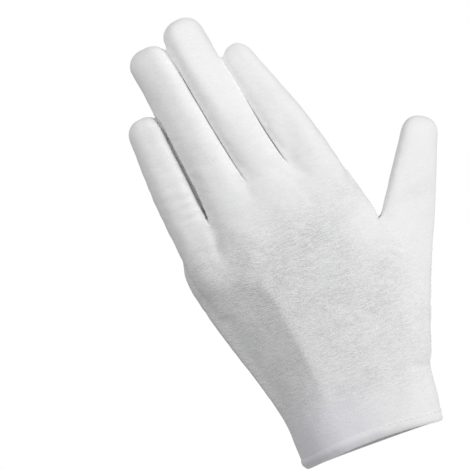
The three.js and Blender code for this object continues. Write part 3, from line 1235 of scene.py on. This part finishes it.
def walled(outer: Array, inner: Array, faces: Array) -> tuple[Array, Array]:
    """Gives a sheet of triangles its inner face and its edges.

    Args:
        outer: The outer points.
        inner: The inner ones, in the same order.
        faces: The sheet's triangles.

    Returns:
        The points and triangles of the closed wall.
    """
    used, numbers = np.unique(faces, return_inverse=True)
    faces = numbers.reshape(faces.shape)
    count = len(used)
    edges = triangle_edges(faces)
    ahead = edges[:, 0] * count + edges[:, 1]
    back = edges[:, 1] * count + edges[:, 0]
    a, b = edges[~np.isin(ahead, back)].T
    rim = np.vstack([np.column_stack([b, a, a + count]), np.column_stack([b, a + count, b + count])])
    points = np.vstack([outer[used], inner[used]])
    return points, np.vstack([faces, faces[:, ::-1] + count, rim])


@dataclass
class GloveCloth:
    """The glove's cloth: its back, its palm side and its thumb.

    Args:
        form: The glove's form.
        detail: What moves the cloth in and out.
        seam_slide: How far the side seam turns onto the back below the thumb.
        turn_from: The heights between which that turn starts.
        turn_to: The heights between which it ends.
        turn_across: Where on x it starts and is whole.
        thumb_seam_back: How deep the thumb's seam is on the back, as a share of its depth.
        slit_rise: How far from the web a slit starts and is whole.
        slit_lost: The share of its depth that it loses towards the fingertips.
        slit_limit: How deep it may be, as a share of the cloth's distance from the middle.
    """

    form: HandForm
    detail: ClothDetail
    seam_slide: float = 1.7
    turn_from: Pair = (20.0, 36.0)
    turn_to: Pair = (62.0, 80.0)
    turn_across: Pair = (10.0, 25.0)
    thumb_seam_back: float = 0.12
    slit_rise: Pair = (-2.0, 7.0)
    slit_lost: float = 0.85
    slit_limit: float = 0.9

    def side_turn(self, flat: Array) -> Array:
        """How far onto the back the side seam has turned, which it does below the thumb.

        Args:
            flat: Points of the flat glove, one a row, in millimetres.

        Returns:
            The turn at each point.
        """
        x, _, z = flat.T
        near = smoothstep(z, *self.turn_from) * (1.0 - smoothstep(z, *self.turn_to))
        return self.seam_slide * (near * smoothstep(x, *self.turn_across))

    def side_seam(self, flat: Array) -> Array:
        """How far points lie from the side seam."""
        return np.abs(flat[:, 1] + self.side_turn(flat))

    def slit_depth(self, flat: Array) -> Array:
        """How far each point moves along y into the slits between the fingers.

        Args:
            flat: Points of the flat glove, one a row, in millimetres.

        Returns:
            The move towards the middle of the cloth, with the sign of y.
        """
        y, z = flat[:, 1], flat[:, 2]
        total = np.zeros(len(flat))
        for contact in CONTACTS:
            away = np.abs(self.form.contact_gap(contact, flat))
            deep = contact.depth * np.exp(-((away / contact.width) ** 4))
            deep = deep * smoothstep(z, *(contact.end[1] + step for step in self.slit_rise))
            total = np.maximum(total, deep * (1.0 - self.slit_lost * smoothstep(z, *contact.fade)))
        return np.sign(y) * np.minimum(total, self.slit_limit * np.abs(y))

    def outer(self, flat: Array, outward: Array) -> Array:
        """Where points of the form lie once the cloth is folded, creased and sewn, still flat.

        Args:
            flat: Points on the form, one a row, in millimetres.
            outward: The outward direction at each.

        Returns:
            Their places.
        """
        thumb = self.form.beyond_thumb_seam(flat)
        seam_side = np.where(thumb > 0.0, NO_SEAM, self.side_seam(flat))
        thumb_strength = np.where(flat[:, 1] < 0.0, self.thumb_seam_back, 1.0)
        seams = ((seam_side, np.ones(len(flat))), (np.abs(thumb), thumb_strength))
        moved = flat + outward * self.detail.outward(flat, seams)[:, None]
        moved[:, 1] -= self.slit_depth(flat)
        return moved

    def finished(self, flat: Array, outward: Array, lift: float) -> Array:
        """Where points of the form lie on the finished glove, lifted off it by a distance.

        Args:
            flat: Points on the form, one a row, in millimetres.
            outward: The outward direction at each.
            lift: The distance.

        Returns:
            Their places.
        """
        bent = self.form.bent(self.outer(flat, outward) + outward * lift)
        bent[:, 1] += self.detail.relief(flat)
        return bent

    def build(self) -> dict[str, Piece]:
        """Makes the three pieces, one for each of the part's cloth solids.

        Returns:
            The pieces by the name of the solid that each stands for.
        """
        net = ClothNet(self.form)
        net.build()
        LOG.info("cloth net: %d points, %d triangles", len(net.points), len(net.faces))
        middle = net.points[net.faces].mean(axis=1)
        on_thumb = self.form.beyond_thumb_seam(middle) > 0
        on_back = middle[:, 1] < 0
        outward = self.form.outward(net.points)
        outer = self.outer(net.points, outward)
        inner = outer - outward * self.form.sizes.fabric
        facing = np.sign(np.where(np.abs(net.points[:, 1]) > TINY, net.points[:, 1], 0.0))
        kept = facing * np.maximum(facing * inner[:, 1], INNER_GAP)
        inner[:, 1] = np.where(facing == 0.0, inner[:, 1], kept)
        relief = self.detail.relief(net.points)[:, None] * np.array([0.0, 1.0, 0.0])
        bent_outer = self.form.bent(outer) + relief
        bent_inner = self.form.bent(inner) + relief
        parts = {
            "back_panel": ~on_thumb & on_back,
            "palm_panel": ~on_thumb & ~on_back,
            "thumb": on_thumb,
        }
        pieces = {}
        for name, chosen in parts.items():
            points, faces = walled(bent_outer, bent_inner, net.faces[chosen])
            pieces[name] = mesh_object("cloth_" + name, points, faces)
            LOG.info("%s: %d triangles", name, len(faces))
        return pieces


@dataclass
class HemBand:
    """The folded hem round the opening.

    Args:
        form: The glove's form.
        detail: What moves the cloth in and out.
        columns: How many points it has round the cuff.
        profile: Heights as shares of the hem's height, and how far out as shares of its bulge.
        flatten: The share of its bulge that it loses on the thumb's side.
        flat_from: Where on x that starts and is whole.
        uneven: How strong its unevenness is, with the size of its waves along x, y and z.
    """

    form: HandForm
    detail: ClothDetail
    columns: int = 260
    profile: Line = (
        (0.03, -3.4), (0.0, -2.3), (0.01, -1.7), (0.05, -1.15), (0.12, -0.6), (0.22, -0.05), (0.34, 0.5),
        (0.48, 0.95), (0.6, 1.15), (0.72, 1.1), (0.84, 0.75), (0.94, 0.3), (1.02, -0.15), (1.03, -0.8),
        (1.0, -1.6), (0.99, -3.4),
    )
    flatten: float = 0.9
    flat_from: Pair = (0.0, 26.0)
    uneven: tuple[tuple[float, Triple], ...] = (
        (0.16, (5.0, 5.0, 11.6667)), (0.06, (2.0, 2.0, 2.6)),
    )

    def ring(self, z: float, out: float) -> Array:
        """Points round the cuff at one height, moved out by a distance.

        Args:
            z: The height.
            out: The distance.

        Returns:
            The points, one a row.
        """
        left, right, crown, back, palm = (float(v[0]) for v in self.form.body.at(np.array([z])))
        angle = np.linspace(0.0, 2.0 * math.pi, self.columns, endpoint=False)
        across, through = np.cos(angle), np.sin(angle)
        s = self.form.sizes
        little = np.where(through > 0, s.palm_squareness, s.back_power(np.array([z])))
        power = np.where(across > 0, s.thumb_side_squareness, little)
        reach = np.where(across > 0, right - crown, crown - left) + out
        depth = np.where(through > 0, palm, back) + out
        x = crown + reach * np.sign(across) * np.abs(across) ** (2.0 / power)
        y = depth * np.sign(through) * np.abs(through) ** (2.0 / power)
        return np.column_stack([x, y, np.full(self.columns, z)])

    def build(self) -> Piece:
        """Makes the hem.

        Returns:
            The piece.
        """
        s = self.form.sizes
        rings = []
        for up, out in self.profile:
            ring = self.ring(up * s.hem_height, out * s.hem_bulge)
            wave = sum(strength * self.detail.noise.at(ring, scale) for strength, scale in self.uneven)
            away = ring[:, :2] - ring[:, :2].mean(axis=0)
            away /= np.linalg.norm(away, axis=1)[:, None]
            flat = self.flatten * smoothstep(ring[:, 0], *self.flat_from) * max(out, 0.0) * s.hem_bulge
            ring[:, :2] += away * (wave - flat)[:, None]
            rings.append(self.form.bent(ring))
        count, rows = self.columns, len(rings)
        points = np.vstack(rings)
        quads = []
        for r in range(rows):
            here = r * count + np.arange(count)
            beside = r * count + (np.arange(count) + 1) % count
            above = ((r + 1) % rows) * count
            step = above - r * count
            quads.append(np.column_stack([here, beside, beside + step, here + step]))
        made = mesh_object("cloth_hem", points, np.vstack(quads))
        solid = bmesh.new()
        solid.from_mesh(made.data)
        bmesh.ops.recalc_face_normals(solid, faces=solid.faces)
        solid.to_mesh(made.data)
        solid.free()
        LOG.info("hem: %d faces", len(made.data.polygons))
        return made


@dataclass(frozen=True)
class StitchLook:
    """The size of the stitches, in millimetres, and their place on the hem as shares of it."""

    pitch: float = 2.7
    length: float = 1.9
    thick: float = 0.42
    uneven: float = 0.15
    seed: int = 11
    lift: float = 0.06
    hem_up: float = 0.86
    hem_out: float = 0.55


def add_node(tree: Tree, kind: str, inputs: dict, **settings: str) -> bpy.types.Node:
    """Adds a node, sets its inputs and links those that are given as sockets.

    Args:
        tree: The node tree.
        kind: The node's type.
        inputs: Each input's value, or the socket that feeds it, by the input's name or number.
        settings: The node's own settings.

    Returns:
        The node.
    """
    made = tree.nodes.new(kind)
    for name, value in settings.items():
        setattr(made, name, value)
    for name, value in inputs.items():
        if isinstance(value, Socket):
            tree.links.new(value, made.inputs[name])
        else:
            made.inputs[name].default_value = value
    return made


def stitch_group() -> Tree:
    """A Geometry Nodes tree that lays stitches along a curve, built once.

    Returns:
        The tree, with Pitch, Length, Thick, Uneven, Seed and Material as its inputs.
    """
    name = "stitches_on_seam"
    if name in bpy.data.node_groups:
        return bpy.data.node_groups[name]
    group = bpy.data.node_groups.new(name, "GeometryNodeTree")
    kinds = {"Geometry": "Geometry", "Seed": "Int", "Material": "Material"}
    for label in ("Geometry", "Pitch", "Length", "Thick", "Uneven", "Seed", "Material"):
        kind = "NodeSocket" + kinds.get(label, "Float")
        group.interface.new_socket(label, in_out="INPUT", socket_type=kind)
    group.interface.new_socket("Geometry", in_out="OUTPUT", socket_type="NodeSocketGeometry")
    given = group.nodes.new("NodeGroupInput").outputs
    inputs = {"Curve": given["Geometry"], "Length": given["Pitch"]}
    places = add_node(group, "GeometryNodeCurveToPoints", inputs, mode="LENGTH")
    thread = add_node(group, "GeometryNodeMeshUVSphere", {"Segments": 7, "Rings": 6, "Radius": 0.5})
    inputs = {"X": given["Thick"], "Y": given["Thick"], "Z": given["Length"]}
    size = add_node(group, "ShaderNodeCombineXYZ", inputs)
    inputs = {"Geometry": thread.outputs["Mesh"], "Scale": size.outputs["Vector"]}
    shape = add_node(group, "GeometryNodeTransform", inputs)
    least = add_node(group, "ShaderNodeMath", {0: 1.0, 1: given["Uneven"]}, operation="SUBTRACT")
    inputs = {2: least.outputs["Value"], 3: 1.0, "Seed": given["Seed"]}
    vary = add_node(group, "FunctionNodeRandomValue", inputs)
    inputs = {
        "Points": places.outputs["Points"], "Instance": shape.outputs["Geometry"],
        "Rotation": places.outputs["Rotation"], "Scale": vary.outputs[1],
    }
    laid = add_node(group, "GeometryNodeInstanceOnPoints", inputs)
    real = add_node(group, "GeometryNodeRealizeInstances", {"Geometry": laid.outputs["Instances"]})
    inputs = {"Geometry": real.outputs["Geometry"], "Material": given["Material"]}
    dressed = add_node(group, "GeometryNodeSetMaterial", inputs)
    add_node(group, "NodeGroupOutput", {"Geometry": dressed.outputs["Geometry"]})
    return group


@dataclass
class SeamStitches:
    """The stitches along the side seams, the thumb's seam and the hem.

    Args:
        cloth: The glove's cloth.
        hem: Its hem.
        look: The stitches' sizes.
        side_low: The height where the side seams' stitches start.
        side_lean: The height above which the line inside a side seam leans.
        thumb_low: The height that the thumb's seam isn't looked for below.
        thumb_out: How far towards the palm or back it is first looked for.
        thumb_near: How near to the seam's plane a stitch has to lie.
    """

    cloth: GloveCloth
    hem: HemBand
    look: StitchLook = StitchLook()
    side_low: float = 8.0
    side_lean: float = 60.0
    thumb_low: float = 62.0
    thumb_out: float = 12.0
    thumb_near: float = 0.4

    def side_path(self, top: float, inside: Pair, outside: float) -> Array:
        """The side seam up one side of the hand, found between a line inside it and one outside.

        Args:
            top: The height where the seam ends.
            inside: The inner line's x low down and at the top.
            outside: The outer line's x.

        Returns:
            The seam's points, one a row.
        """
        form = self.cloth.form
        z = np.arange(self.side_low, top, 1.0)
        inside = np.interp(z, (self.side_lean, top), inside)
        outside = np.full(len(z), outside)
        for _ in range(30):
            middle = 0.5 * (inside + outside)
            flat = np.column_stack([middle, np.zeros(len(z)), z])
            within = form.field(*flat.T) < 0.0
            inside = np.where(within, middle, inside)
            outside = np.where(within, outside, middle)
        flat = np.column_stack([inside, np.zeros(len(z)), z])
        flat[:, 1] -= self.cloth.side_turn(flat)
        return form.onto(flat)

    def thumb_path(self, side: Side) -> Array:
        """The thumb's seam on one side of the hand, from its crotch to the outer edge.

        Args:
            side: The side of the hand.

        Returns:
            The seam's points, one a row.
        """
        form = self.cloth.form
        z = np.arange(form.crotch[1] - 2.0, self.thumb_low, -1.0)
        x = np.full(len(z), form.crotch[0])
        for _ in range(12):
            flat = form.onto(np.column_stack([x, np.full(len(z), self.thumb_out * side.value), z]))
            flat[:, 2] = z
            away = form.beyond_thumb_seam(flat)
            x = flat[:, 0] - away
        flat = form.onto(np.column_stack([x, flat[:, 1], z]))
        return flat[np.abs(form.beyond_thumb_seam(flat)) < self.thumb_near]

    def hem_path(self) -> Array:
        """The ring of stitches just below the hem's upper edge.

        Returns:
            The points, with the first again at the end.
        """
        sizes = self.cloth.form.sizes
        ring = self.hem.ring(self.look.hem_up * sizes.hem_height, self.look.hem_out * sizes.hem_bulge)
        return self.cloth.form.bent(np.vstack([ring, ring[:1]]))

    def laid(self, name: str, path: Array, material: bpy.types.Material) -> Piece:
        """Lays stitches along one path and turns them into a plain mesh.

        Args:
            name: The piece's name.
            path: The path's points in millimetres, one a row.
            material: The thread's material.

        Returns:
            The piece.
        """
        look = self.look
        curve = bpy.data.curves.new(name + "_path", "CURVE")
        curve.dimensions = "3D"
        line = curve.splines.new("POLY")
        line.points.add(len(path) - 1)
        places = np.column_stack([path * MM, np.ones(len(path))]).astype(np.float32)
        line.points.foreach_set("co", places.ravel())
        guide = bpy.data.objects.new(name + "_path", curve)
        bpy.context.scene.collection.objects.link(guide)
        tree = stitch_group()
        modifier = guide.modifiers.new("stitches", "NODES")
        modifier.node_group = tree
        values = {
            "Pitch": look.pitch * MM, "Length": look.length * MM, "Thick": look.thick * MM,
            "Uneven": look.uneven, "Seed": look.seed, "Material": material,
        }
        for item in tree.interface.items_tree:
            if item.in_out == "INPUT" and item.name in values:
                modifier[item.identifier] = values[item.name]
        view = bpy.context.evaluated_depsgraph_get()
        mesh = bpy.data.meshes.new_from_object(guide.evaluated_get(view))
        guide.modifiers.remove(modifier)
        bpy.data.objects.remove(guide)
        made = bpy.data.objects.new(name, mesh)
        bpy.context.scene.collection.objects.link(made)
        LOG.info("%s: %d faces", name, len(mesh.polygons))
        return made

    def build(self, material: bpy.types.Material) -> list[Piece]:
        """Makes the stitches.

        Args:
            material: The thread's material.

        Returns:
            The pieces.
        """
        form = self.cloth.form
        paths = {
            "stitches_thumb_side": self.side_path(74.0, (20.0, 20.0), 62.0),
            "stitches_little_side": self.side_path(168.0, (-20.0, -38.0), -62.0),
            "stitches_thumb_palm": self.thumb_path(Side.PALM),
        }
        made = []
        for name, flat in paths.items():
            lifted = self.cloth.finished(flat, form.outward(flat), self.look.lift)
            made.append(self.laid(name, lifted, material))
        made.append(self.laid("stitches_hem", self.hem_path(), material))
        return made


@dataclass(frozen=True)
class CottonFinish:
    """White knitted cotton. Lengths are in metres.

    Args:
        colour: The cloth's own colour, where no shade is painted.
        shade: The darker colour of painted shade in the knit's low places and mid-back, and of the mottle.
        painted_cool_shade: A darker, bluer colour painted as shade by the hem on the little finger's side.
        painted_shade_place: The middle of that painted shade.
        painted_shade_reach: How far it reaches.
        painted_shade_share: How strong it is there.
        grain_depth: How deep the knit's relief is.
    """

    name: str = "white_cotton"
    colour: tuple[float, float, float, float] = (0.9, 0.9, 0.903, 1.0)
    shade: tuple[float, float, float, float] = (0.74, 0.74, 0.746, 1.0)
    painted_cool_shade: tuple[float, float, float, float] = (0.8, 0.8, 0.865, 1.0)
    painted_shade_place: Triple = (-0.018, -0.018, 0.01)
    painted_shade_reach: float = 0.036
    painted_shade_share: float = 0.8
    roughness: float = 0.95
    sheen: float = 0.2
    sheen_roughness: float = 0.5
    gloss: float = 0.2
    grain_depth: float = 0.0004

    def material(self) -> bpy.types.Material:
        """Makes the material.

        Returns:
            The material.
        """
        made = bpy.data.materials.new(self.name)
        made.use_nodes = True
        tree = made.node_tree
        place = tree.nodes.new("ShaderNodeTexCoord").outputs["Object"]
        grain = tree.nodes.new("ShaderNodeGroup")
        grain.node_tree = grain_and_painted_shade_group()
        tree.links.new(place, grain.inputs["Vector"])
        # Painted shade: a darker, bluer colour by the hem on the little finger's side.
        away = distance(tree, place, self.painted_shade_place)
        near = map_range(tree, away, (self.painted_shade_reach, 0.0), (0.0, self.painted_shade_share))
        # Painted shade in the knit's low places and mid-back, with the real mottle, darkens the colour.
        inputs = {"Factor": grain.outputs["Fleck"], "A": self.colour, "B": self.shade}
        knit = add_node(tree, "ShaderNodeMix", inputs, data_type="RGBA")
        inputs = {"Factor": near, "A": knit.outputs["Result"], "B": self.painted_cool_shade}
        painted_shade_mix = add_node(tree, "ShaderNodeMix", inputs, data_type="RGBA")
        inputs = {"Strength": 1.0, "Distance": self.grain_depth, "Height": grain.outputs["Height"]}
        bump = add_node(tree, "ShaderNodeBump", inputs)
        shader = tree.nodes["Principled BSDF"]
        settings = {
            "Roughness": self.roughness, "Specular IOR Level": self.gloss,
            "Sheen Weight": self.sheen, "Sheen Roughness": self.sheen_roughness,
        }
        for name, value in settings.items():
            shader.inputs[name].default_value = value
        tree.links.new(painted_shade_mix.outputs["Result"], shader.inputs["Base Color"])
        tree.links.new(bump.outputs["Normal"], shader.inputs["Normal"])
        return made


def map_range(tree: Tree, source: Socket, span: Pair, to: Pair) -> Socket:
    """Adds a smooth change of a value from one range to another.

    Args:
        tree: The node tree.
        source: The value.
        span: Where the change starts and ends.
        to: The values at those ends.

    Returns:
        The result's socket.
    """
    inputs = {"Value": source, "From Min": span[0], "From Max": span[1], "To Min": to[0], "To Max": to[1]}
    return add_node(tree, "ShaderNodeMapRange", inputs, interpolation_type="SMOOTHSTEP").outputs["Result"]


def distance(tree: Tree, source: Socket, place: Triple) -> Socket:
    """Adds the distance between coordinates and one place."""
    made = add_node(tree, "ShaderNodeVectorMath", {0: source, 1: place}, operation="DISTANCE")
    return made.outputs["Value"]


def stretched(
    tree: Tree, source: Socket, scale: Triple, kind: str, detail: float, roughness: float,
) -> bpy.types.Node:
    """Adds a noise or Voronoi texture of its own scale along x, y and z.

    Args:
        tree: The node tree.
        source: The coordinates.
        scale: Cells to a metre, along x, y and z.
        kind: The texture node's type.
        detail: How many finer layers it has.
        roughness: How strong those are.

    Returns:
        The texture node.
    """
    turn = add_node(tree, "ShaderNodeMapping", {"Scale": scale, "Vector": source})
    inputs = {"Scale": 1.0, "Detail": detail, "Roughness": roughness, "Vector": turn.outputs["Vector"]}
    return add_node(tree, kind, inputs)


def combined(tree: Tree, operation: str, first: Socket, second: Socket | float) -> Socket:
    """Adds one sum on two values, named as the Math node names it."""
    return add_node(tree, "ShaderNodeMath", {0: first, 1: second}, operation=operation).outputs["Value"]


def grain_and_painted_shade_group() -> Tree:
    """The knit's grain with painted shade, as a node group, built once. Its numbers are metres and shares.

    Crinkled streaks run across the hand, over the loops of the knit. They are strong on the back of
    the hand and weak on the fingers, the thumb, beside its crotch and by the hem.

    Returns:
        The group, with Vector as its input, and Height and the painted shade and mottle as its outputs.
    """
    name = "knit_grain"
    if name in bpy.data.node_groups:
        return bpy.data.node_groups[name]
    group = bpy.data.node_groups.new(name, "ShaderNodeTree")
    group.interface.new_socket("Vector", in_out="INPUT", socket_type="NodeSocketVector")
    for label in ("Height", "Fleck"):
        group.interface.new_socket(label, in_out="OUTPUT", socket_type="NodeSocketFloat")
    place = group.nodes.new("NodeGroupInput").outputs["Vector"]
    wander = stretched(group, place, (60.0, 60.0, 60.0), "ShaderNodeTexNoise", 2.0, 0.5)
    inputs = {0: wander.outputs["Color"], 1: (0.0, 0.0, 0.006), 2: place}
    moved = add_node(group, "ShaderNodeVectorMath", inputs, operation="MULTIPLY_ADD").outputs["Vector"]
    streaks = stretched(group, moved, (250.0, 250.0, 1350.0), "ShaderNodeTexNoise", 3.0, 0.7)
    loops = stretched(group, moved, (1150.0, 1150.0, 1600.0), "ShaderNodeTexVoronoi", 0.0, 0.5)
    patches = stretched(group, place, (75.0, 75.0, 75.0), "ShaderNodeTexNoise", 3.0, 0.6).outputs["Fac"]
    parts = add_node(group, "ShaderNodeSeparateXYZ", {"Vector": place}).outputs
    palm_middle = distance(group, place, (0.012, -0.014, 0.086))
    crotch = distance(group, place, (0.043, -0.008, 0.096))
    # How strong the grain's relief and the shade painted into it are, place by place.
    strengths = (
        (parts["Z"], (0.102, 0.13), (1.0, 0.32)),
        (parts["X"], (0.042, 0.058), (1.0, 0.32)),
        (parts["Z"], (0.006, 0.034), (0.3, 1.0)),
        # more grain and painted shade in the middle of the back of the hand
        (palm_middle, (0.05, 0.012), (1.0, 1.3)),
        (crotch, (0.007, 0.021), (0.3, 1.0)),
        (patches, (0.3, 0.7), (0.8, 1.2)),
    )
    strength = map_range(group, *strengths[0])
    for row in strengths[1:]:
        strength = combined(group, "MULTIPLY", strength, map_range(group, *row))
    loop = combined(group, "MULTIPLY", loops.outputs["Distance"], -0.3)
    height = combined(group, "ADD", streaks.outputs["Fac"], loop)
    # Painted shade: the colour darkens where the grain lies low, as much as the grain is strong.
    painted_pit_shade = combined(group, "MULTIPLY", map_range(group, height, (0.52, 0.16), (0.0, 1.0)), strength)
    mottle = map_range(group, patches, (0.42, 0.7), (0.0, 0.08))
    # Painted shade: a soft grey over the middle of the back of the hand.
    middle = map_range(group, palm_middle, (0.05, 0.012), (0.0, 1.0))
    mottle_and_painted_middle_shade = combined(group, "ADD", mottle, combined(group, "MULTIPLY", middle, 0.12))
    painted_shade_and_mottle = combined(group, "ADD", combined(group, "MULTIPLY", painted_pit_shade, 0.7), mottle_and_painted_middle_shade)
    relief = combined(group, "MULTIPLY", height, strength)
    add_node(group, "NodeGroupOutput", {"Height": relief, "Fleck": painted_shade_and_mottle})
    return group


@dataclass(frozen=True)
class Lamp:
    """A round soft light, placed towards the picture's right, its top and the camera."""

    name: str
    toward: Triple
    power: float
    size: float = 0.7
    distance: float = 1.5


LAMPS = (
    Lamp("key", (1.0, 0.5, 0.8), 12.9),
    Lamp("fill", (-0.7, 0.7, 0.6), 1.15, 0.28, 0.6),
    Lamp("behind", (0.0, 0.0, -1.0), 6.5),
)


@dataclass
class Studio:
    """The camera, the lights, the backdrop and the floor, in metres but for the camera's own."""

    right: Triple = (0.9135, 0.0, -0.4067)
    up: Triple = (0.4067, 0.0, 0.9135)
    place: Triple = (-0.0199, -2.4467, 0.1166)
    lens: float = 400.0
    sensor: float = 36.0
    aim: Triple = (0.0, 0.0, 0.11)
    ambient: float = 0.3
    floor_radius: float = 0.9
    floor_z: float = -0.3

    def camera(self) -> None:
        """Puts the camera in front of the glove, turned as the photograph is."""
        data = bpy.data.cameras.new("camera")
        data.lens = self.lens
        data.sensor_width = self.sensor
        made = bpy.data.objects.new("camera", data)
        right, up = Vector(self.right), Vector(self.up)
        turn = Matrix((right, up, right.cross(up))).transposed()
        made.matrix_world = Matrix.Translation(self.place) @ turn.to_4x4()
        bpy.context.scene.collection.objects.link(made)
        bpy.context.scene.camera = made

    def lights(self) -> None:
        """Lights the glove softly from the right, with a near fill and a lamp behind the glove."""
        right, up, front = Vector(self.right), Vector(self.up), Vector((0.0, -1.0, 0.0))
        for lamp in LAMPS:
            data = bpy.data.lights.new(lamp.name, "AREA")
            data.shape = "DISK"
            data.size = lamp.size
            data.energy = lamp.power
            made = bpy.data.objects.new(lamp.name, data)
            direction = right * lamp.toward[0] + up * lamp.toward[1] + front * lamp.toward[2]
            direction.normalize()
            made.rotation_euler = direction.to_track_quat("Z", "Y").to_euler()
            made.location = Vector(self.aim) + direction * lamp.distance
            bpy.context.scene.collection.objects.link(made)

    def surroundings(self) -> None:
        """A plain white backdrop and a pale floor below the glove."""
        world = bpy.data.worlds.new("studio")
        bpy.context.scene.world = world
        world.use_nodes = True
        tree = world.node_tree
        tree.nodes.clear()
        white = (1.0, 1.0, 1.0, 1.0)
        seen = add_node(tree, "ShaderNodeBackground", {"Color": white})
        around = add_node(tree, "ShaderNodeBackground", {"Color": white, "Strength": self.ambient})
        path = tree.nodes.new("ShaderNodeLightPath")
        inputs = {"Fac": path.outputs["Is Camera Ray"], 1: around.outputs[0], 2: seen.outputs[0]}
        mix = add_node(tree, "ShaderNodeMixShader", inputs)
        add_node(tree, "ShaderNodeOutputWorld", {"Surface": mix.outputs["Shader"]})
        disc = bmesh.new()
        bmesh.ops.create_circle(disc, cap_ends=True, radius=self.floor_radius, segments=96)
        mesh = bpy.data.meshes.new("floor")
        disc.to_mesh(mesh)
        disc.free()
        mesh.transform(Matrix.Translation((0.0, 0.0, self.floor_z)))
        floor = bpy.data.objects.new("floor", mesh)
        bpy.context.scene.collection.objects.link(floor)
        pale = bpy.data.materials.new("pale_floor")
        pale.use_nodes = True
        shader = pale.node_tree.nodes["Principled BSDF"]
        shader.inputs["Base Color"].default_value = (0.8, 0.8, 0.8, 1.0)
        shader.inputs["Roughness"].default_value = 0.9
        mesh.materials.append(pale)
        bpy.context.scene.view_settings.view_transform = "Standard"
        bpy.context.scene.view_settings.look = "None"


def dress(piece: Piece, node: str, material: bpy.types.Material) -> None:
    """Gives a piece its material, hides the solid that it stands for and attaches the piece to the root.

    Args:
        piece: The piece.
        node: The solid's name.
        material: The cotton.
    """
    piece.data.materials.append(material)
    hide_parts(node)
    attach(piece, "root")


def main() -> None:
    """Builds the glove and its surroundings."""
    logging.basicConfig(level=logging.INFO, format="%(name)s: %(message)s")
    studio = Studio()
    studio.camera()
    studio.lights()
    studio.surroundings()
    form = HandForm()
    detail = ClothDetail(form)
    cotton = CottonFinish().material()
    cloth = GloveCloth(form, detail)
    for node, piece in cloth.build().items():
        dress(piece, node, cotton)
    hem = HemBand(form, detail)
    dress(hem.build(), "hem", cotton)
    for piece in SeamStitches(cloth, hem).build(cotton):
        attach(piece, "root")
    LOG.info("boxes written")


if __name__ == "__main__":
    main()
